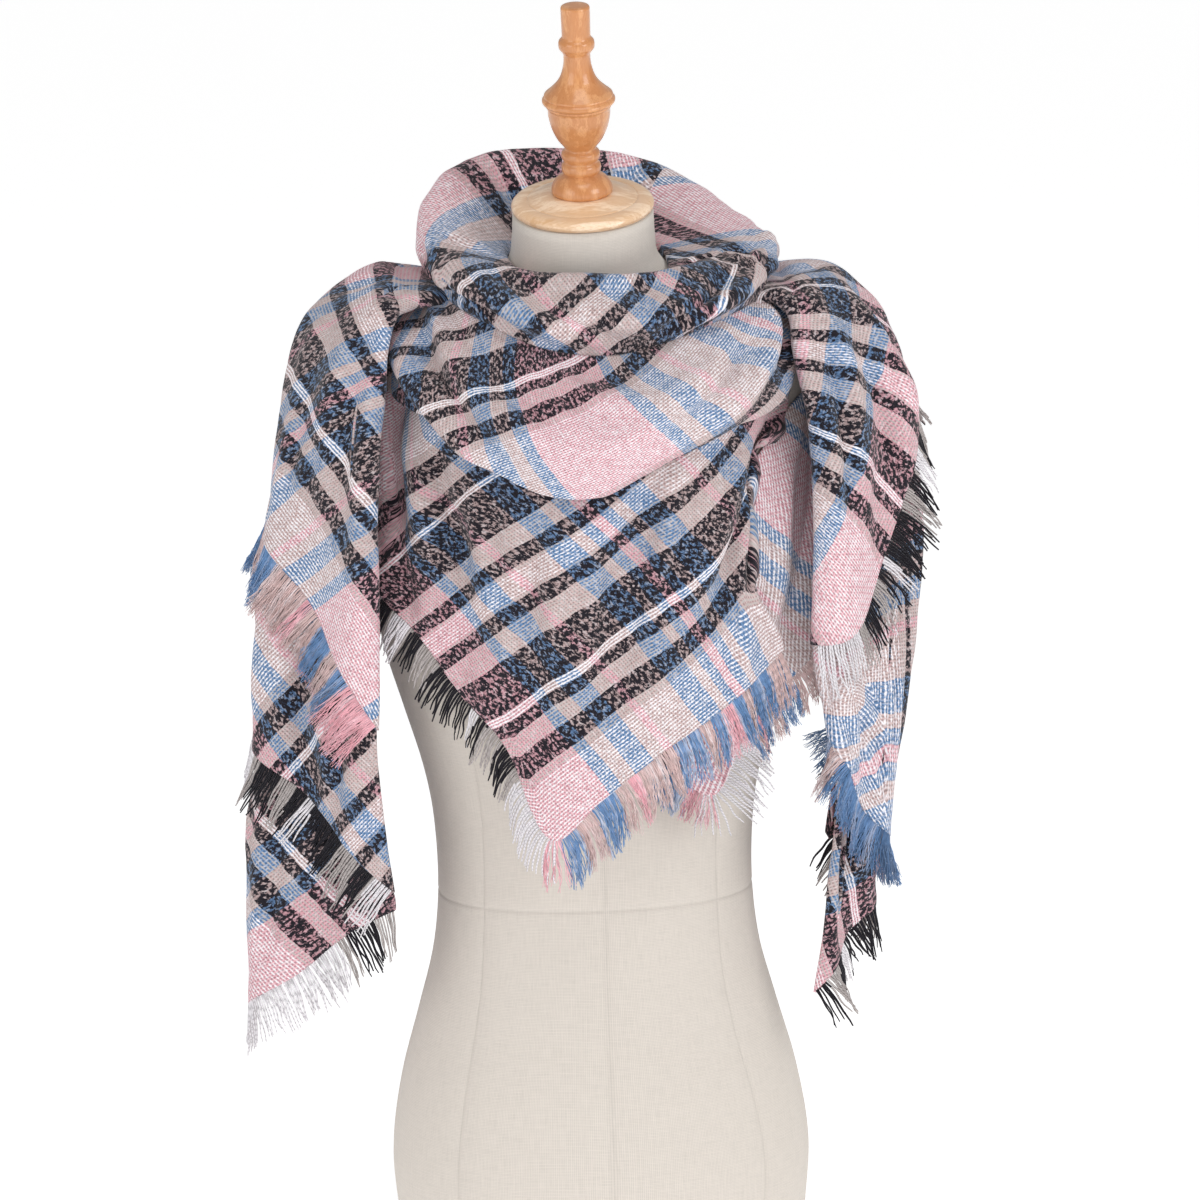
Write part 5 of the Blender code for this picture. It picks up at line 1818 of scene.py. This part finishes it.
class SCARF_OT_form(bpy.types.Operator):
    """Sew the form's linen cover, with its seams"""

    bl_idname = "scarf.sew_form"
    bl_label = "Form"

    def execute(self, context):
        depth = context.scene.form_looks.seam
        points, counts, seams = [], [], []
        for height in cover_heights():
            waist = math.exp(-(((height - WAIST_SEAM) / SEAM_WIDTH) ** 2))
            columns = cover_columns(height)
            row = []
            for angle, seam in columns:
                skin = form_point(math.radians(angle), height)
                inwards = Vector((skin.x, skin.y, 0)).normalized()
                row.append(skin - inwards * depth * max(seam, waist))
            points.append(row)
            around = SEAM_RADIUS * MM
            counts.append([(math.radians(angle) * around, height * MM) for angle, _ in columns])
            seams.append([max(seam, waist) for _, seam in columns])
        points.append([point.lerp(NECK_TOP, TOP_TURNS_IN) for point in points[-1]])
        counts.append([(across, down + RIM_TURN) for across, down in counts[-1]])
        seams.append([0.0] * len(seams[-1]))
        grids = [np.array(grid) for grid in (points, counts, seams)]
        mesh = grid_mesh("form_cover", *grids[:2], closed=True, seams=grids[2])
        add_piece("form_cover", mesh, finishes()["linen"], "form_linen", "torso")
        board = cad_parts["base_board"]
        board.data.materials.clear()
        board.data.materials.append(finishes()["board"])
        return {"FINISHED"}


class SCARF_OT_stage(bpy.types.Operator):
    """Set up the floor, the soft studio light and the camera"""

    bl_idname = "scarf.set_stage"
    bl_label = "Studio"

    def execute(self, context):
        look = context.scene.studio_looks
        floor = bmesh.new()
        bmesh.ops.create_grid(floor, x_segments=1, y_segments=1, size=FLOOR_SIZE)
        plane = placed("studio_floor", made_mesh("studio_floor", floor))
        pale, _, shader = new_material("studio_floor", tuple(look.floor))
        for name in ("Base Color", "Emission Color"):
            shader.inputs[name].default_value = (*look.floor, 1)
        plain_sockets(shader, Roughness=0.9, Emission_Strength=look.glow)
        plane.data.materials.append(pale)
        context.scene.view_settings.view_transform = "Standard"
        self.lights(context, look.light)
        self.camera(context)
        return {"FINISHED"}

    def lights(self, context, strength):
        """The white air, and a soft lamp on each side and above."""
        world = bpy.data.worlds.new("studio_air")
        world.use_nodes = True
        air = world.node_tree.nodes["Background"]
        air.inputs["Color"].default_value = (1, 1, 1, 1)
        air.inputs["Strength"].default_value = AIR_GLOW * strength
        context.scene.world = world
        for name, place, size, power in LAMPS:
            lamp = bpy.data.lights.new(name, "AREA")
            lamp.size = size
            lamp.energy = power * strength
            holder = placed(name, lamp)
            holder.location = place
            aim = LAMPS_AIM - Vector(place)
            holder.rotation_euler = aim.to_track_quat("-Z", "Y").to_euler()

    def camera(self, context):
        """The camera, turned round the form and rolled a little."""
        turn, rise = math.radians(CAMERA_AZIMUTH), math.radians(CAMERA_HEIGHT)
        right = Vector((math.cos(turn), math.sin(turn), 0))
        ahead = Vector((math.sin(turn), -math.cos(turn), 0))
        back = ahead * math.cos(rise) + Vector((0, 0, math.sin(rise)))
        up = back.cross(right)
        roll = math.radians(CAMERA_ROLL)
        across = right * math.cos(roll) - up * math.sin(roll)
        top = up * math.cos(roll) + right * math.sin(roll)
        lens = bpy.data.cameras.new("camera")
        lens.lens = CAMERA_LENS
        lens.sensor_width = CAMERA_SENSOR
        lens.clip_end = 100
        eye = placed("camera", lens)
        turned = Matrix((across, top, back)).transposed().to_4x4()
        target = CAMERA_TARGET + right * CAMERA_ASIDE
        eye.matrix_world = Matrix.Translation(target + back * CAMERA_AWAY) @ turned
        context.scene.camera = eye


class SCARF_PT_panel(bpy.types.Panel):
    """Lists the scarf's pieces"""

    bl_label = "Blanket scarf"
    bl_idname = "SCARF_PT_panel"
    bl_space_type = "VIEW_3D"
    bl_region_type = "UI"
    bl_category = "Scarf"

    def draw(self, context):
        layout = self.layout
        for group in SETTINGS:
            look = getattr(context.scene, group)
            for name in look.__annotations__:
                layout.prop(look, name)
        for operator in OPERATORS:
            layout.operator(operator.bl_idname)


OPERATORS = (
    SCARF_OT_form,
    SCARF_OT_wood,
    SCARF_OT_collar,
    SCARF_OT_front,
    SCARF_OT_ends,
    SCARF_OT_stage,
)
SETTINGS = {
    "scarf_looks": ScarfSettings,
    "form_looks": FormSettings,
    "studio_looks": StudioSettings,
}


def register():
    for name, group in SETTINGS.items():
        bpy.utils.register_class(group)
        setattr(bpy.types.Scene, name, PointerProperty(type=group))
    for operator in OPERATORS:
        bpy.utils.register_class(operator)
    bpy.utils.register_class(SCARF_PT_panel)


def unregister():
    bpy.utils.unregister_class(SCARF_PT_panel)
    for operator in reversed(OPERATORS):
        bpy.utils.unregister_class(operator)
    for name, group in reversed(SETTINGS.items()):
        delattr(bpy.types.Scene, name)
        bpy.utils.unregister_class(group)


def main():
    register()
    bpy.ops.scarf.sew_form()
    bpy.ops.scarf.turn_wood()
    bpy.ops.scarf.lay_collar()
    bpy.ops.scarf.lay_front()
    bpy.ops.scarf.lay_ends()
    bpy.ops.scarf.set_stage()


if __name__ == "__main__":
    main()
